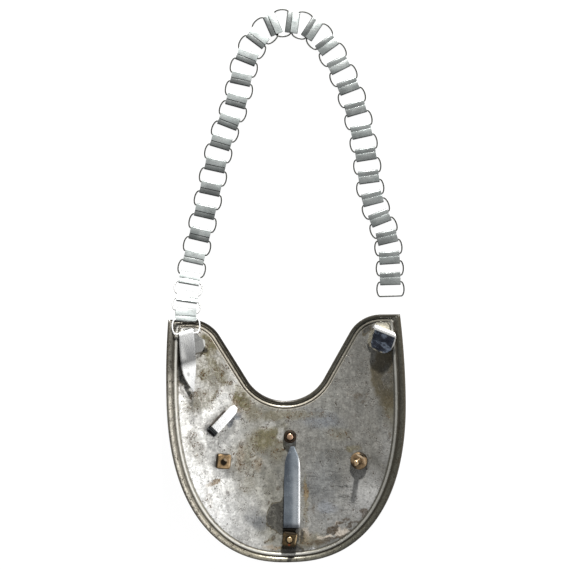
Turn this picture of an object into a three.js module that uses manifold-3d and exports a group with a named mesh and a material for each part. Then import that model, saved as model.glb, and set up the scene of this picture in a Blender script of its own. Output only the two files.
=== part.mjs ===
// A steel gorget lying on its front, with its fittings and its neck chain spread out above it.
// Millimetres, +Z up. X runs across the plate, Y from its lower edge to its horns and on to the chain.
import * as THREE from "three";
import { mergeVertices } from "three/addons/utils/BufferGeometryUtils.js";
import Module from "manifold-3d";

const wasm = await Module();
wasm.setup();

const clearance = 0.3;
const degree = Math.PI / 180;

// Plate: one bent sheet. Heights along Y are measured from the lowest point of the neckline.
const sheet = 1.0;
const bendRadius = 160;
const plateWidth = 172.2;
const halfWidth = plateWidth / 2;
const widestHeight = 7.5;
const plateDrop = 120.5;
const outlineFullness = 2.3;
const hornHeight = 63.5;
const hornInset = 2.5;
const neckRadius = 33;
const neckLean = 30.1 * degree;
const shoulderRadius = 26;
const hornFlat = 2;

// Border round the plate: a rolled edge, a groove and a ridge.
const edgeBorder = 8.2;
const neckBorder = 6.4;
const borderRise = 0.9;
const backBorder = [
  { inset: 0.0, rise: -0.15 },
  { inset: 0.08, rise: 0.7 },
  { inset: 0.23, rise: 1.0 },
  { inset: 0.4, rise: 0.6 },
  { inset: 0.5, rise: -0.15 },
  { inset: 0.66, rise: 0.55 },
  { inset: 0.82, rise: 0.5 },
  { inset: 1.0, rise: 0.0 },
];
const frontBorder = [
  { inset: 0.0, rise: -0.15 },
  { inset: 0.23, rise: 0.8 },
  { inset: 0.48, rise: 0.0 },
  { inset: 1.0, rise: 0.0 },
];
const fieldRows = [0.33, 0.67];
const stationsPerSide = 30;

// Screws through the plate, each with a plain head on the front and a nut on the back.
// The bottom one also holds the tab of the centre tongue, just inside the border.
const headHeight = 2.0;
const headBevel = { inset: 1.2, rise: 0.6 };
const shaftEnd = { radius: 0.6, depth: 0.3 };
const nutCorner = 1.6;
const nutChamfer = 0.12;
const tongueTab = 8;
const tabMargin = 2;
const screws = [
  {
    name: "top", x: 0.026 * halfWidth, y: -0.218 * plateDrop, turn: 0, head: 12, headHeight: 1.9,
    shaft: 4.6, nut: 9.7, nutHeight: 3.2, proud: 1.0, square: false,
  },
  {
    name: "left", x: -0.558 * halfWidth, y: -0.35 * plateDrop, turn: -8 * degree, head: 13, headHeight,
    shaft: 3.9, nut: 11, nutHeight: 3.4, proud: -0.9, square: true,
  },
  {
    name: "right", x: 0.618 * halfWidth, y: -0.364 * plateDrop, turn: 0, head: 13, headHeight,
    shaft: 3.9, nut: 12.8, nutHeight: 3.0, proud: 8.2, square: false,
  },
  {
    name: "bottom", x: 0, y: edgeBorder + tabMargin + tongueTab - plateDrop, turn: -9 * degree,
    head: 12, headHeight, shaft: 4.1, nut: 10.8, nutHeight: 2.8, proud: 0.8, square: true,
  },
];
const [topScrew, , , bottomScrew] = screws;

// Folded fittings on the back. Outlines hold shares of the leaf's length and width.
// The base is seated at its middle, baseShift aside of the leaf, and baseSpan is its widest reach.
const leafSheet = 1.0;
const leafArch = [
  { along: 0.3, rise: 0.8 },
  { along: 0.6, rise: 1.0 },
  { along: 1.0, rise: -0.6 },
];
const hookRoom = { side: 6.1, horn: 3.7 };
const hook = {
  x: hookRoom.side + edgeBorder - halfWidth, y: hornHeight - neckBorder - hookRoom.horn, turn: 13 * degree,
  width: 13, length: 42, gap: 3.6, arch: 1.4, base: 17, baseShift: 3.4, baseSpan: 19,
};
const hookLeaf = [
  { along: -0.1, left: -0.62, right: 0.26 },
  { along: 0.0, left: -0.62, right: 0.25 },
  { along: 0.2, left: -0.78, right: 0.13 },
  { along: 0.4, left: -0.9, right: 0.0 },
  { along: 0.58, left: -0.97, right: -0.13 },
  { along: 0.72, left: -0.92, right: -0.25 },
  { along: 0.85, left: -0.76, right: -0.4 },
  { along: 1.0, left: -0.57, right: -0.52 },
];
const hookBase = [
  { along: -0.25, left: -0.45, right: 0.28 },
  { along: 0.05, left: -0.45, right: 0.34 },
  { along: 0.5, left: -0.45, right: 0.88 },
  { along: 0.72, left: -0.45, right: 0.86 },
  { along: 1.0, left: -0.4, right: 0.5 },
];
const catchRoom = { side: 4.5, horn: 5.5 };
const catchHook = {
  x: halfWidth - edgeBorder - catchRoom.side, y: hornHeight - neckBorder - catchRoom.horn, turn: -21 * degree,
  width: 16.6, length: 15, gap: 2.8, arch: -0.5, base: 15, baseShift: -1.5, baseSpan: 22,
};
const catchLeaf = [
  { along: -0.3, left: -0.37, right: 0.64 },
  { along: 0.4, left: -0.36, right: 0.72 },
  { along: 0.75, left: -0.31, right: 0.64 },
  { along: 0.93, left: -0.22, right: 0.5 },
  { along: 1.0, left: -0.08, right: 0.36 },
];
const catchBase = [
  { along: -0.3, left: -0.5, right: 0.32 },
  { along: 0.3, left: -0.54, right: 0.34 },
  { along: 0.8, left: -0.56, right: 0.3 },
  { along: 1.0, left: -0.4, right: 0.2 },
];
const clip = {
  x: -0.65 * halfWidth, y: -0.158 * plateDrop, turn: 134 * degree,
  width: 6.8, length: 24.5, gap: 3.6, arch: 0.5, base: 18, baseShift: 0, baseSpan: 19,
};
const clipLeaf = [
  { along: -0.2, left: -0.5, right: 0.5 },
  { along: 0.84, left: -0.5, right: 0.5 },
  { along: 0.95, left: -0.38, right: 0.4 },
  { along: 1.0, left: -0.2, right: 0.22 },
];
const clipBase = [
  { along: -0.2, left: -0.56, right: 0.56 },
  { along: 0.93, left: -0.56, right: 0.56 },
  { along: 1.0, left: -0.4, right: 0.4 },
];

// Centre tongue: a springy prong held under the bottom nut, with its tip just short of the top nut.
const tongueSheet = 1.2;
const tongueTurn = -1.9 * degree;
const tongueWidth = 12;
const tongueShift = 1.5;
const tipGap = 2.1;
const tongueReach = topScrew.y - bottomScrew.y - topScrew.nut / 2 - tipGap;
const tongueRise = 3.6;
const tongueStep = 7.2;
const tabWidth = 10.4;
const tongueBend = [
  { along: 0.55, rise: 1.3 },
  { along: 0.85, rise: 1.2 },
  { along: 1.0, rise: 0.9 },
];
const tongueOutline = [
  { along: 0.1, left: -0.5, right: 0.5 },
  { along: 0.8, left: -0.47, right: 0.47 },
  { along: 0.9, left: -0.31, right: 0.31 },
  { along: 0.97, left: -0.13, right: 0.13 },
  { along: 1.0, left: -0.05, right: 0.05 },
];
const tabOutline = [
  { along: -(tongueStep + tongueRise) / tongueTab, left: -0.5, right: 0.5 },
  { along: -0.6, left: -0.5, right: 0.44 },
  { along: 1.0, left: -0.5, right: 0.32 },
];

// Chain: wire rings held in folded flat links.
const wire = 1.1;
const barSpacing = 10.8;
const ringBulge = 3.1;
const barOverhang = 0.15;
const linkWidth = 15.2;
const linkLength = 9.8;
const linkSheet = 0.45;
const linkRoom = 0.2;
const linkSeam = { shift: -0.8, halfGap: 0.12 };
const barDrop = 0.28;
const wireSides = 5;
const ringEndSteps = 4;
const freeEndSlack = 2.3;
const hookRoll = 19 * degree;
const barInHook = { across: -0.12, along: 0.04 };
// The middle of every second flat link, from the hook to the free end, and its lift off the floor.
const chainRoute = [
  { x: -71.3, y: 67.3, lift: 23.8 },
  { x: -69.8, y: 92.6, lift: 5.4 },
  { x: -61.6, y: 126.1, lift: 0.1 },
  { x: -52.8, y: 160.1, lift: 0 },
  { x: -44.1, y: 195.1, lift: 0 },
  { x: -31.5, y: 225.3, lift: 0 },
  { x: -23.4, y: 258.3, lift: 0 },
  { x: -3.4, y: 282.3, lift: 0 },
  { x: 26.2, y: 278.1, lift: 0 },
  { x: 45.5, y: 250.5, lift: 0 },
  { x: 57.3, y: 217.5, lift: 0 },
  { x: 64.2, y: 182.9, lift: 0 },
  { x: 67.9, y: 149.6, lift: 0 },
  { x: 78.7, y: 120.6, lift: 0 },
  { x: 80.1, y: 89.4, lift: 0 },
];

const steel = { color: 0xb9bab4, roughness: 0.28, metalness: 1 };
const darkSteel = { color: 0x5b5f63, roughness: 0.4, metalness: 1 };
const whiteSteel = { color: 0xd6d8d8, roughness: 0.22, metalness: 1 };
const brass = { color: 0xb8a878, roughness: 0.38, metalness: 1 };
const darkBrass = { color: 0x8f7a45, roughness: 0.45, metalness: 1 };

// Facets of the turned bodies.
const screwSides = 10;
const boreSides = 12;
const nutSides = 16;

// Middle of the sheet above the floor, on the centreline, with the bottom screw's head below it.
const plateHeight = headHeight + clearance + sheet / 2;

function toSolid(geometry) {
  const bare = geometry.index ? geometry.clone() : geometry;
  bare.deleteAttribute("normal");
  bare.deleteAttribute("uv");
  const merged = mergeVertices(bare, 1e-4);
  const vertProperties = new Float32Array(merged.attributes.position.array);
  const triVerts = new Uint32Array(merged.index.array);
  return new wasm.Manifold(new wasm.Mesh({ numProp: 3, vertProperties, triVerts }));
}

function toGeometry(solid) {
  const { vertProperties, triVerts } = solid.getMesh();
  const geometry = new THREE.BufferGeometry();
  geometry.setAttribute("position", new THREE.BufferAttribute(vertProperties, 3));
  geometry.setIndex(new THREE.BufferAttribute(triVerts, 1));
  geometry.computeVertexNormals();
  return geometry;
}

function namedMesh(name, geometry, finish) {
  const mesh = new THREE.Mesh(geometry, new THREE.MeshStandardMaterial(finish));
  mesh.name = name;
  return mesh;
}

// A point h above the middle of the bent sheet, where the flat outline has x and y.
function onSheet(x, y, h) {
  const reach = Math.sqrt(bendRadius ** 2 - x ** 2);
  const z = plateHeight + bendRadius - reach + (h * reach) / bendRadius;
  return new THREE.Vector3(x - (h * x) / bendRadius, y, z);
}

// A group on the middle of the sheet at x and y, with Z along the sheet's normal.
function seatAt(x, y) {
  const seat = new THREE.Group();
  seat.position.copy(onSheet(x, y, 0));
  seat.rotation.y = -Math.asin(x / bendRadius);
  return seat;
}

// A flat base on the hollow side clears the sheet at its ends as well as in its middle.
function seatLift(halfSpan) {
  return sheet / 2 + clearance + halfSpan ** 2 / (2 * bendRadius);
}

// Right half of the outer edge, from the horn's corner down to the lowest point.
class OuterEdge extends THREE.Curve {
  getPoint(t) {
    const sideShare = 0.3;
    if (t < sideShare) {
      const down = t / sideShare;
      const y = THREE.MathUtils.lerp(hornHeight, widestHeight, down);
      return new THREE.Vector2(halfWidth - hornInset * (1 - down) ** 2, y);
    }
    const angle = ((t - sideShare) / (1 - sideShare)) * (Math.PI / 2);
    const power = 2 / outlineFullness;
    const x = halfWidth * Math.max(0, Math.cos(angle)) ** power;
    return new THREE.Vector2(x, widestHeight - (plateDrop + widestHeight) * Math.sin(angle) ** power);
  }
}

// Right half of the neckline: horn top, shoulder arc, straight flank and bottom arc.
// The shoulder rounds the corner between flank and horn, so the horn's width limits its radius.
function neckEdge() {
  const flankEnd = new THREE.Vector2(Math.cos(neckLean), 1 - Math.sin(neckLean)).multiplyScalar(neckRadius);
  const corner = new THREE.Vector2(halfWidth - hornInset, hornHeight);
  const flankRise = hornHeight - flankEnd.y;
  const hornWidth = corner.x - flankEnd.x - flankRise * Math.tan(neckLean);
  const widening = Math.tan((Math.PI / 2 - neckLean) / 2);
  const radius = Math.min(shoulderRadius, (hornWidth - hornFlat) / widening);
  const flankTopY = hornHeight - radius * (1 - Math.sin(neckLean));
  const flankTopX = flankEnd.x + (flankTopY - flankEnd.y) * Math.tan(neckLean);
  const flankTop = new THREE.Vector2(flankTopX, flankTopY);
  const shoulderX = flankTopX + radius * Math.cos(neckLean);
  const shoulderY = hornHeight - radius;
  const edge = new THREE.CurvePath();
  edge.add(new THREE.LineCurve(corner, new THREE.Vector2(shoulderX, hornHeight)));
  edge.add(new THREE.ArcCurve(shoulderX, shoulderY, radius, Math.PI / 2, Math.PI - neckLean, false));
  edge.add(new THREE.LineCurve(flankTop, flankEnd));
  edge.add(new THREE.ArcCurve(0, neckRadius, neckRadius, -neckLean, -Math.PI / 2, true));
  return edge;
}

const outerEdge = new OuterEdge();
outerEdge.arcLengthDivisions = 800;
const neckLine = neckEdge();

// Both insets meet on the mitre at the horn's corner.
function mitrePoint(share) {
  const side = outerEdge.getTangent(0);
  const across = -(edgeBorder * share + side.x * neckBorder * share) / -side.y;
  const corner = outerEdge.getPoint(0);
  return new THREE.Vector2(corner.x + across, corner.y - neckBorder * share);
}

// A point on a border line: u runs from the horn's corner to the centreline.
function borderPoint(onNeck, share, u) {
  const mitre = mitrePoint(share);
  if (u === 0) return mitre;
  const corner = outerEdge.getPoint(0);
  const skipped = onNeck ? corner.x - mitre.x : corner.y - mitre.y;
  const start = skipped / (onNeck ? neckLine : outerEdge).getLength();
  const at = start + (1 - start) * u;
  const point = onNeck ? neckLine.getPoint(at) : outerEdge.getPointAt(at);
  const tangent = onNeck ? neckLine.getTangent(at) : outerEdge.getTangentAt(at);
  if (u === 1) tangent.set(-1, 0);
  const inset = share * (onNeck ? neckBorder : edgeBorder);
  const inward = onNeck ? new THREE.Vector2(-tangent.y, tangent.x) : new THREE.Vector2(tangent.y, -tangent.x);
  return point.addScaledVector(inward, inset);
}

// One line of points across the sheet, from the outer edge to the neckline, on one face of it.
function plateColumn(station, border, face) {
  const side = station <= stationsPerSide ? -1 : 1;
  const u = (side < 0 ? station : 2 * stationsPerSide - station) / stationsPerSide;
  const column = [];
  const place = (point, rise) => {
    column.push(onSheet(side * point.x, point.y, face * (sheet / 2 + rise * borderRise)));
  };
  for (const row of border) place(borderPoint(false, row.inset, u), row.rise);
  const outer = borderPoint(false, 1, u);
  const inner = borderPoint(true, 1, u);
  for (const share of fieldRows) place(outer.clone().lerp(inner, share), 0);
  for (const row of [...border].reverse()) place(borderPoint(true, row.inset, u), row.rise);
  return column;
}

function plateGeometry() {
  const positions = [];
  const addTriangle = (a, b, c) => {
    const tiny = 1e-4;
    if (a.distanceTo(b) < tiny || b.distanceTo(c) < tiny || c.distanceTo(a) < tiny) return;
    for (const corner of [a, b, c]) positions.push(corner.x, corner.y, corner.z);
  };
  const addQuad = (a, b, c, d) => {
    addTriangle(a, b, c);
    addTriangle(a, c, d);
  };
  const back = [];
  const front = [];
  for (let station = 0; station <= 2 * stationsPerSide; station += 1) {
    back.push(plateColumn(station, backBorder, 1));
    front.push(plateColumn(station, frontBorder, -1));
  }
  for (let station = 0; station < 2 * stationsPerSide; station += 1) {
    const [backHere, backNext] = [back[station], back[station + 1]];
    const [frontHere, frontNext] = [front[station], front[station + 1]];
    for (let row = 0; row < backHere.length - 1; row += 1) {
      addQuad(backHere[row], backNext[row], backNext[row + 1], backHere[row + 1]);
    }
    for (let row = 0; row < frontHere.length - 1; row += 1) {
      addQuad(frontHere[row], frontHere[row + 1], frontNext[row + 1], frontNext[row]);
    }
    addQuad(frontHere[0], frontNext[0], backNext[0], backHere[0]);
    addQuad(backHere.at(-1), backNext.at(-1), frontNext.at(-1), frontHere.at(-1));
  }
  const geometry = new THREE.BufferGeometry();
  geometry.setAttribute("position", new THREE.Float32BufferAttribute(positions, 3));
  return geometry;
}

// A turned body about Z from rows of radius and height, lowest first.
function turned(rows, sides) {
  const profile = rows.map(([radius, height]) => new THREE.Vector2(radius, height));
  const geometry = new THREE.LatheGeometry(profile, sides);
  geometry.rotateX(Math.PI / 2);
  return geometry;
}

function seatedGeometry(geometry, x, y) {
  const seat = seatAt(x, y);
  seat.updateMatrixWorld(true);
  return geometry.applyMatrix4(seat.matrixWorld);
}

function buildPlate() {
  let plate = toSolid(plateGeometry());
  for (const screw of screws) {
    const radius = screw.shaft / 2 + clearance;
    const reach = 3 * sheet;
    const drill = turned([[0, -reach], [radius, -reach], [radius, reach], [0, reach]], boreSides);
    plate = plate.subtract(toSolid(seatedGeometry(drill, screw.x, screw.y)));
  }
  return namedMesh("gorget_plate", toGeometry(plate), steel);
}

// Height of a nut's underside above the middle of the sheet.
function nutSeat(screw) {
  if (screw === bottomScrew) return seatLift(tabWidth / 2) + tongueSheet + clearance;
  return seatLift(screw.nut / 2);
}

function buildScrew(screw) {
  const shaft = screw.shaft / 2;
  const head = screw.head / 2;
  const headTop = -sheet / 2 - clearance;
  const headFace = headTop - screw.headHeight;
  const end = nutSeat(screw) + screw.nutHeight + screw.proud;
  const rows = [
    [0, headFace], [head - headBevel.inset, headFace], [head, headFace + headBevel.rise], [head, headTop],
    [shaft, headTop], [shaft, end - shaftEnd.depth * shaft], [shaftEnd.radius * shaft, end], [0, end],
  ];
  const seat = seatAt(screw.x, screw.y);
  seat.add(namedMesh(`${screw.name}_screw`, turned(rows, screwSides), brass));
  return seat;
}

function squareNut(size, height, bore) {
  const half = size / 2;
  const corner = nutCorner;
  const outline = new THREE.Shape();
  outline.absarc(half - corner, -half + corner, corner, -Math.PI / 2, 0, false);
  outline.absarc(half - corner, half - corner, corner, 0, Math.PI / 2, false);
  outline.absarc(-half + corner, half - corner, corner, Math.PI / 2, Math.PI, false);
  outline.absarc(-half + corner, -half + corner, corner, Math.PI, 1.5 * Math.PI, false);
  const hole = new THREE.Path();
  hole.absarc(0, 0, bore, 0, 2 * Math.PI, true);
  outline.holes.push(hole);
  return new THREE.ExtrudeGeometry(outline, { depth: height, bevelEnabled: false, curveSegments: 3 });
}

function roundNut(size, height, bore) {
  const outer = size / 2;
  const chamfer = nutChamfer * outer;
  const rows = [
    [bore, 0], [outer, 0], [outer, height - chamfer], [outer - chamfer, height], [bore, height], [bore, 0],
  ];
  return turned(rows, nutSides);
}

function buildNut(screw) {
  const bore = screw.shaft / 2 + clearance;
  const shape = screw.square ? squareNut : roundNut;
  const finish = { top: darkSteel, left: brass, right: brass, bottom: darkBrass }[screw.name];
  const nut = namedMesh(`${screw.name}_nut`, shape(screw.nut, screw.nutHeight, bore), finish);
  nut.position.z = nutSeat(screw);
  nut.rotation.z = screw.turn;
  const seat = seatAt(screw.x, screw.y);
  seat.add(nut);
  return seat;
}

// A bent strip: its middle line is given in its own Y and Z, and it is as wide as asked along X.
function bentStrip(line, thickness, width) {
  const half = thickness / 2;
  const offsets = line.map((point, i) => {
    const before = line[Math.max(0, i - 1)];
    const after = line[Math.min(line.length - 1, i + 1)];
    const arriving = point.clone().sub(before).normalize();
    const leaving = after.clone().sub(point).normalize();
    if (i === 0) arriving.copy(leaving);
    if (i === line.length - 1) leaving.copy(arriving);
    const middle = arriving.clone().add(leaving).normalize();
    const stretch = half / middle.dot(arriving);
    return new THREE.Vector2(-middle.y, middle.x).multiplyScalar(stretch);
  });
  const leftSide = line.map((point, i) => point.clone().add(offsets[i]));
  const rightSide = line.map((point, i) => point.clone().sub(offsets[i]));
  const outline = new THREE.Shape([...rightSide, ...leftSide.reverse()]);
  const geometry = new THREE.ExtrudeGeometry(outline, { depth: width, bevelEnabled: false });
  geometry.translate(0, 0, -width / 2);
  const axes = [new THREE.Vector3(0, 1, 0), new THREE.Vector3(0, 0, 1), new THREE.Vector3(1, 0, 0)];
  return geometry.applyMatrix4(new THREE.Matrix4().makeBasis(...axes));
}

// An upright prism over an outline table, used to trim a strip to its plan shape.
function planPrism(rows, width, length, bottom, top) {
  const rightSide = rows.map((row) => new THREE.Vector2(row.right * width, -row.along * length));
  const leftSide = rows.map((row) => new THREE.Vector2(row.left * width, -row.along * length));
  const outline = new THREE.Shape([...rightSide, ...leftSide.reverse()]);
  const geometry = new THREE.ExtrudeGeometry(outline, { depth: top - bottom, bevelEnabled: false });
  return geometry.translate(0, 0, bottom);
}

// A strip folded over at its top: a base leaf on the plate and a free leaf that stands off it.
// Its fold is centred on the origin of X and Y, and both leaves run towards -Y.
function foldedLeaf(size, leafRows, baseRows) {
  const half = leafSheet / 2;
  const foldRadius = size.gap / 2 + half;
  const foldCentre = half + foldRadius;
  const line = [new THREE.Vector2(-size.base, half), new THREE.Vector2(0, half)];
  const foldSteps = 6;
  for (let step = 1; step < foldSteps; step += 1) {
    const angle = -Math.PI / 2 + (Math.PI * step) / foldSteps;
    line.push(new THREE.Vector2(foldRadius * Math.cos(angle), foldCentre + foldRadius * Math.sin(angle)));
  }
  const leafHeight = foldCentre + foldRadius;
  line.push(new THREE.Vector2(0, leafHeight));
  for (const row of leafArch) {
    line.push(new THREE.Vector2(-row.along * size.length, leafHeight + row.rise * size.arch));
  }
  const stockWidth = 3 * size.width;
  const strip = toSolid(bentStrip(line, leafSheet, stockWidth));
  const overlap = 0.05;
  const high = leafHeight + foldRadius + size.arch;
  const leaf = planPrism(leafRows, size.width, size.length, foldCentre - overlap, high);
  const base = planPrism(baseRows, size.width, size.base, -overlap, foldCentre + overlap);
  return strip.intersect(toSolid(leaf)).add(strip.intersect(toSolid(base)));
}

function buildFolded(name, size, leafRows, baseRows, finish) {
  const piece = namedMesh(name, toGeometry(foldedLeaf(size, leafRows, baseRows)), finish);
  const baseMiddle = new THREE.Vector2(size.baseShift, -size.base / 2);
  baseMiddle.rotateAround(new THREE.Vector2(), size.turn);
  piece.rotation.z = size.turn;
  piece.position.set(-baseMiddle.x, -baseMiddle.y, seatLift(size.baseSpan / 2));
  const seat = seatAt(size.x + baseMiddle.x, size.y + baseMiddle.y);
  seat.add(piece);
  return seat;
}

function buildTongue() {
  const half = tongueSheet / 2;
  const tongueHeight = half + tongueRise;
  const stepEnd = tongueStep + 0.6 * tongueRise;
  const line = [
    new THREE.Vector2(-tongueTab, half),
    new THREE.Vector2(tongueStep, half),
    new THREE.Vector2(stepEnd, tongueHeight),
    ...tongueBend.map((row) => new THREE.Vector2(row.along * tongueReach, half + row.rise * tongueRise)),
  ];
  const stockWidth = 2 * tongueWidth;
  const strip = toSolid(bentStrip(line, tongueSheet, stockWidth));
  const low = -tongueSheet;
  const high = 3 * tongueRise;
  const blade = planPrism(tongueOutline, tongueWidth, -tongueReach, low, high);
  blade.translate(tongueShift, 0, 0);
  const tab = planPrism(tabOutline, tabWidth, tongueTab, low, high);
  const bore = bottomScrew.shaft / 2 + clearance;
  const drill = turned([[0, low], [bore, low], [bore, high], [0, high]], boreSides);
  const outline = toSolid(blade).add(toSolid(tab));
  const tongue = strip.intersect(outline).subtract(toSolid(drill));
  const piece = namedMesh("centre_tongue", toGeometry(tongue), darkSteel);
  piece.position.z = seatLift(tabWidth / 2);
  piece.rotation.z = tongueTurn;
  const seat = seatAt(bottomScrew.x, bottomScrew.y);
  seat.add(piece);
  return seat;
}

// A wire ring: two straight bars along X, joined by half ellipses. Its bars are barSpacing apart in Y.
function ringGeometry() {
  const sections = 2 * (ringEndSteps + 1);
  const geometry = new THREE.TorusGeometry(barSpacing / 2, wire / 2, wireSides, sections);
  const position = geometry.attributes.position;
  const barEnd = linkWidth / 2 + barOverhang;
  const bulge = linkWidth / 2 + ringBulge - wire / 2 - barEnd;
  for (let j = 0; j <= wireSides; j += 1) {
    for (let i = 0; i <= sections; i += 1) {
      const section = i % sections;
      const side = section <= ringEndSteps ? 1 : -1;
      const angle = side * (-Math.PI / 2 + (Math.PI * (section % (ringEndSteps + 1))) / ringEndSteps);
      const turn = side > 0 ? angle : Math.PI - angle;
      const normal = new THREE.Vector2(Math.cos(turn) / bulge, Math.sin(turn) / (barSpacing / 2)).normalize();
      const around = -Math.PI / 2 + (2 * Math.PI * ((j % wireSides) + 0.5)) / wireSides;
      const out = (wire / 2) * Math.cos(around);
      const x = side * barEnd + bulge * Math.cos(turn) + out * normal.x;
      const y = (barSpacing / 2) * Math.sin(turn) + out * normal.y;
      position.setXYZ(j * (sections + 1) + i, x, y, (wire / 2) * Math.sin(around));
    }
  }
  return geometry;
}

// A flat link: a strip folded round into a low loop, whose ends meet at a seam on top.
function flatLinkGeometry() {
  const outer = wire / 2 + linkRoom / 2 + linkSheet;
  const inner = outer - linkSheet;
  const bend = linkLength / 2 - outer;
  const seamEnds = [linkSeam.shift - linkSeam.halfGap, linkSeam.shift + linkSeam.halfGap];
  const arc = (radius, from, to, steps, side) => {
    const points = [];
    for (let step = 0; step <= steps; step += 1) {
      const angle = THREE.MathUtils.lerp(from, to, step / steps);
      points.push(new THREE.Vector2(side * bend + radius * Math.cos(angle), radius * Math.sin(angle)));
    }
    return points;
  };
  const quarter = Math.PI / 2;
  const outline = new THREE.Shape([
    new THREE.Vector2(seamEnds[0], outer),
    ...arc(outer, quarter, 3 * quarter, 3, -1),
    ...arc(outer, -quarter, quarter, 3, 1),
    new THREE.Vector2(seamEnds[1], outer),
    new THREE.Vector2(seamEnds[1], inner),
    ...arc(inner, quarter, -quarter, 2, 1),
    ...arc(inner, 3 * quarter, quarter, 2, -1),
    new THREE.Vector2(seamEnds[0], inner),
  ]);
  const geometry = new THREE.ExtrudeGeometry(outline, { depth: linkWidth, bevelEnabled: false });
  geometry.translate(0, 0, -linkWidth / 2);
  const axes = [new THREE.Vector3(0, 1, 0), new THREE.Vector3(0, 0, 1), new THREE.Vector3(1, 0, 0)];
  return geometry.applyMatrix4(new THREE.Matrix4().makeBasis(...axes));
}

// Places a ring or link with its two bars at the given points, rolled about the chain's run.
function onBars(solid, start, end, roll, lift) {
  const along = end.clone().sub(start).normalize();
  const side = along.clone().cross(new THREE.Vector3(0, 0, 1)).normalize().applyAxisAngle(along, roll);
  const up = side.clone().cross(along);
  const centre = start.clone().add(end).multiplyScalar(0.5).addScaledVector(up, lift);
  const matrix = new THREE.Matrix4().makeBasis(side, along, up).setPosition(centre);
  return solid.transform(matrix.elements);
}

function buildChain(hookSeat) {
  const restHeight = wire / 2 + linkRoom / 2 + linkSheet - barDrop;
  const points = chainRoute.map((point) => new THREE.Vector3(point.x, point.y, point.lift));
  const route = new THREE.CatmullRomCurve3(points, false, "catmullrom", 0.5);
  const linkCount = 2 * chainRoute.length - 1;
  const centres = [];
  for (let link = 0; link < linkCount; link += 1) {
    const centre = route.getPoint(link / (linkCount - 1));
    centre.z = restHeight + Math.max(0, centre.z);
    centres.push(centre);
  }
  // Two bars for each ring: the first ring hangs in the hook and the last one is free.
  const bars = [];
  const firstRun = centres[0].clone().sub(hookSeat).normalize();
  bars.push([hookSeat.clone(), hookSeat.clone().addScaledVector(firstRun, barSpacing)]);
  for (let link = 1; link < linkCount; link += 1) {
    const run = centres[link].clone().sub(centres[link - 1]).normalize();
    const middle = centres[link].clone().add(centres[link - 1]).multiplyScalar(0.5);
    const start = middle.clone().addScaledVector(run, -barSpacing / 2);
    bars.push([start, middle.clone().addScaledVector(run, barSpacing / 2)]);
  }
  const lastRun = centres.at(-1).clone().sub(centres.at(-2)).normalize();
  const lastStart = centres.at(-1).clone().addScaledVector(lastRun, freeEndSlack);
  bars.push([lastStart, lastStart.clone().addScaledVector(lastRun, barSpacing)]);

  const topHeight = centres[0].z;
  const rollAt = (height) => hookRoll * ((height - restHeight) / (topHeight - restHeight));
  const ring = toSolid(ringGeometry());
  const flatLink = toSolid(flatLinkGeometry());
  let chain = null;
  const join = (solid) => {
    chain = chain ? chain.add(solid) : solid;
  };
  bars.forEach(([start, end], i) => {
    join(onBars(ring, start, end, rollAt((start.z + end.z) / 2), 0));
    if (i < linkCount) {
      const next = bars[i + 1][0];
      join(onBars(flatLink, end, next, rollAt((end.z + next.z) / 2), barDrop));
    }
  });
  return namedMesh("neck_chain", toGeometry(chain), whiteSteel);
}

const gorget = new THREE.Group();
gorget.add(buildPlate());
for (const screw of screws) {
  gorget.add(buildScrew(screw));
  gorget.add(buildNut(screw));
}
const hookGroup = buildFolded("chain_hook", hook, hookLeaf, hookBase, whiteSteel);
gorget.add(hookGroup);
gorget.add(buildFolded("chain_catch", catchHook, catchLeaf, catchBase, darkSteel));
gorget.add(buildFolded("side_clip", clip, clipLeaf, clipBase, whiteSteel));
gorget.add(buildTongue());

// The first ring's bar lies in the middle of the hook's fold.
gorget.updateMatrixWorld(true);
const foldMiddle = new THREE.Vector3(
  barInHook.across * hook.width,
  barInHook.along * hook.gap,
  leafSheet + hook.gap / 2,
);
const hookSeat = hookGroup.children[0].localToWorld(foldMiddle);
gorget.add(buildChain(hookSeat));

// The origin is under the middle of the whole object, on the surface that it lies on.
const bounds = new THREE.Box3().setFromObject(gorget, true);
const middle = bounds.getCenter(new THREE.Vector3());
gorget.position.set(-middle.x, -middle.y, -bounds.min.z);

const group = new THREE.Group();
group.add(gorget);
export default group;
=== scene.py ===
import math

import bmesh
import bpy
from mathutils import Matrix, Vector


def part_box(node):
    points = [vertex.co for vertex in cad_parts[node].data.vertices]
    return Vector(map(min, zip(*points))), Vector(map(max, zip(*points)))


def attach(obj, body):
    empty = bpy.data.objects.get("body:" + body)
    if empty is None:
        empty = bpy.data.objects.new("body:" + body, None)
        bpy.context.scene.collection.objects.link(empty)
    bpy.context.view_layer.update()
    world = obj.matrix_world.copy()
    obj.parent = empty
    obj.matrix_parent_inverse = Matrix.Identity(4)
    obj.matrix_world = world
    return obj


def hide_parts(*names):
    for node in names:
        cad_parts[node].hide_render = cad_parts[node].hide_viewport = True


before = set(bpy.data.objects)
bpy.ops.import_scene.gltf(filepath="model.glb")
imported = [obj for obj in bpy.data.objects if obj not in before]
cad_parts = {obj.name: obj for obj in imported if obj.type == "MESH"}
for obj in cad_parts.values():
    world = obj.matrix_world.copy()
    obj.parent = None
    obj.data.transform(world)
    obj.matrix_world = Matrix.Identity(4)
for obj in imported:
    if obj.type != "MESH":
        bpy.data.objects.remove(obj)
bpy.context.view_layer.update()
print("stage: the packed frame is loaded")

# All shapes are worked out in millimetres from the neckline's lowest point, then scaled to metres.
degree = math.pi / 180
toMetres = 0.001

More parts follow.
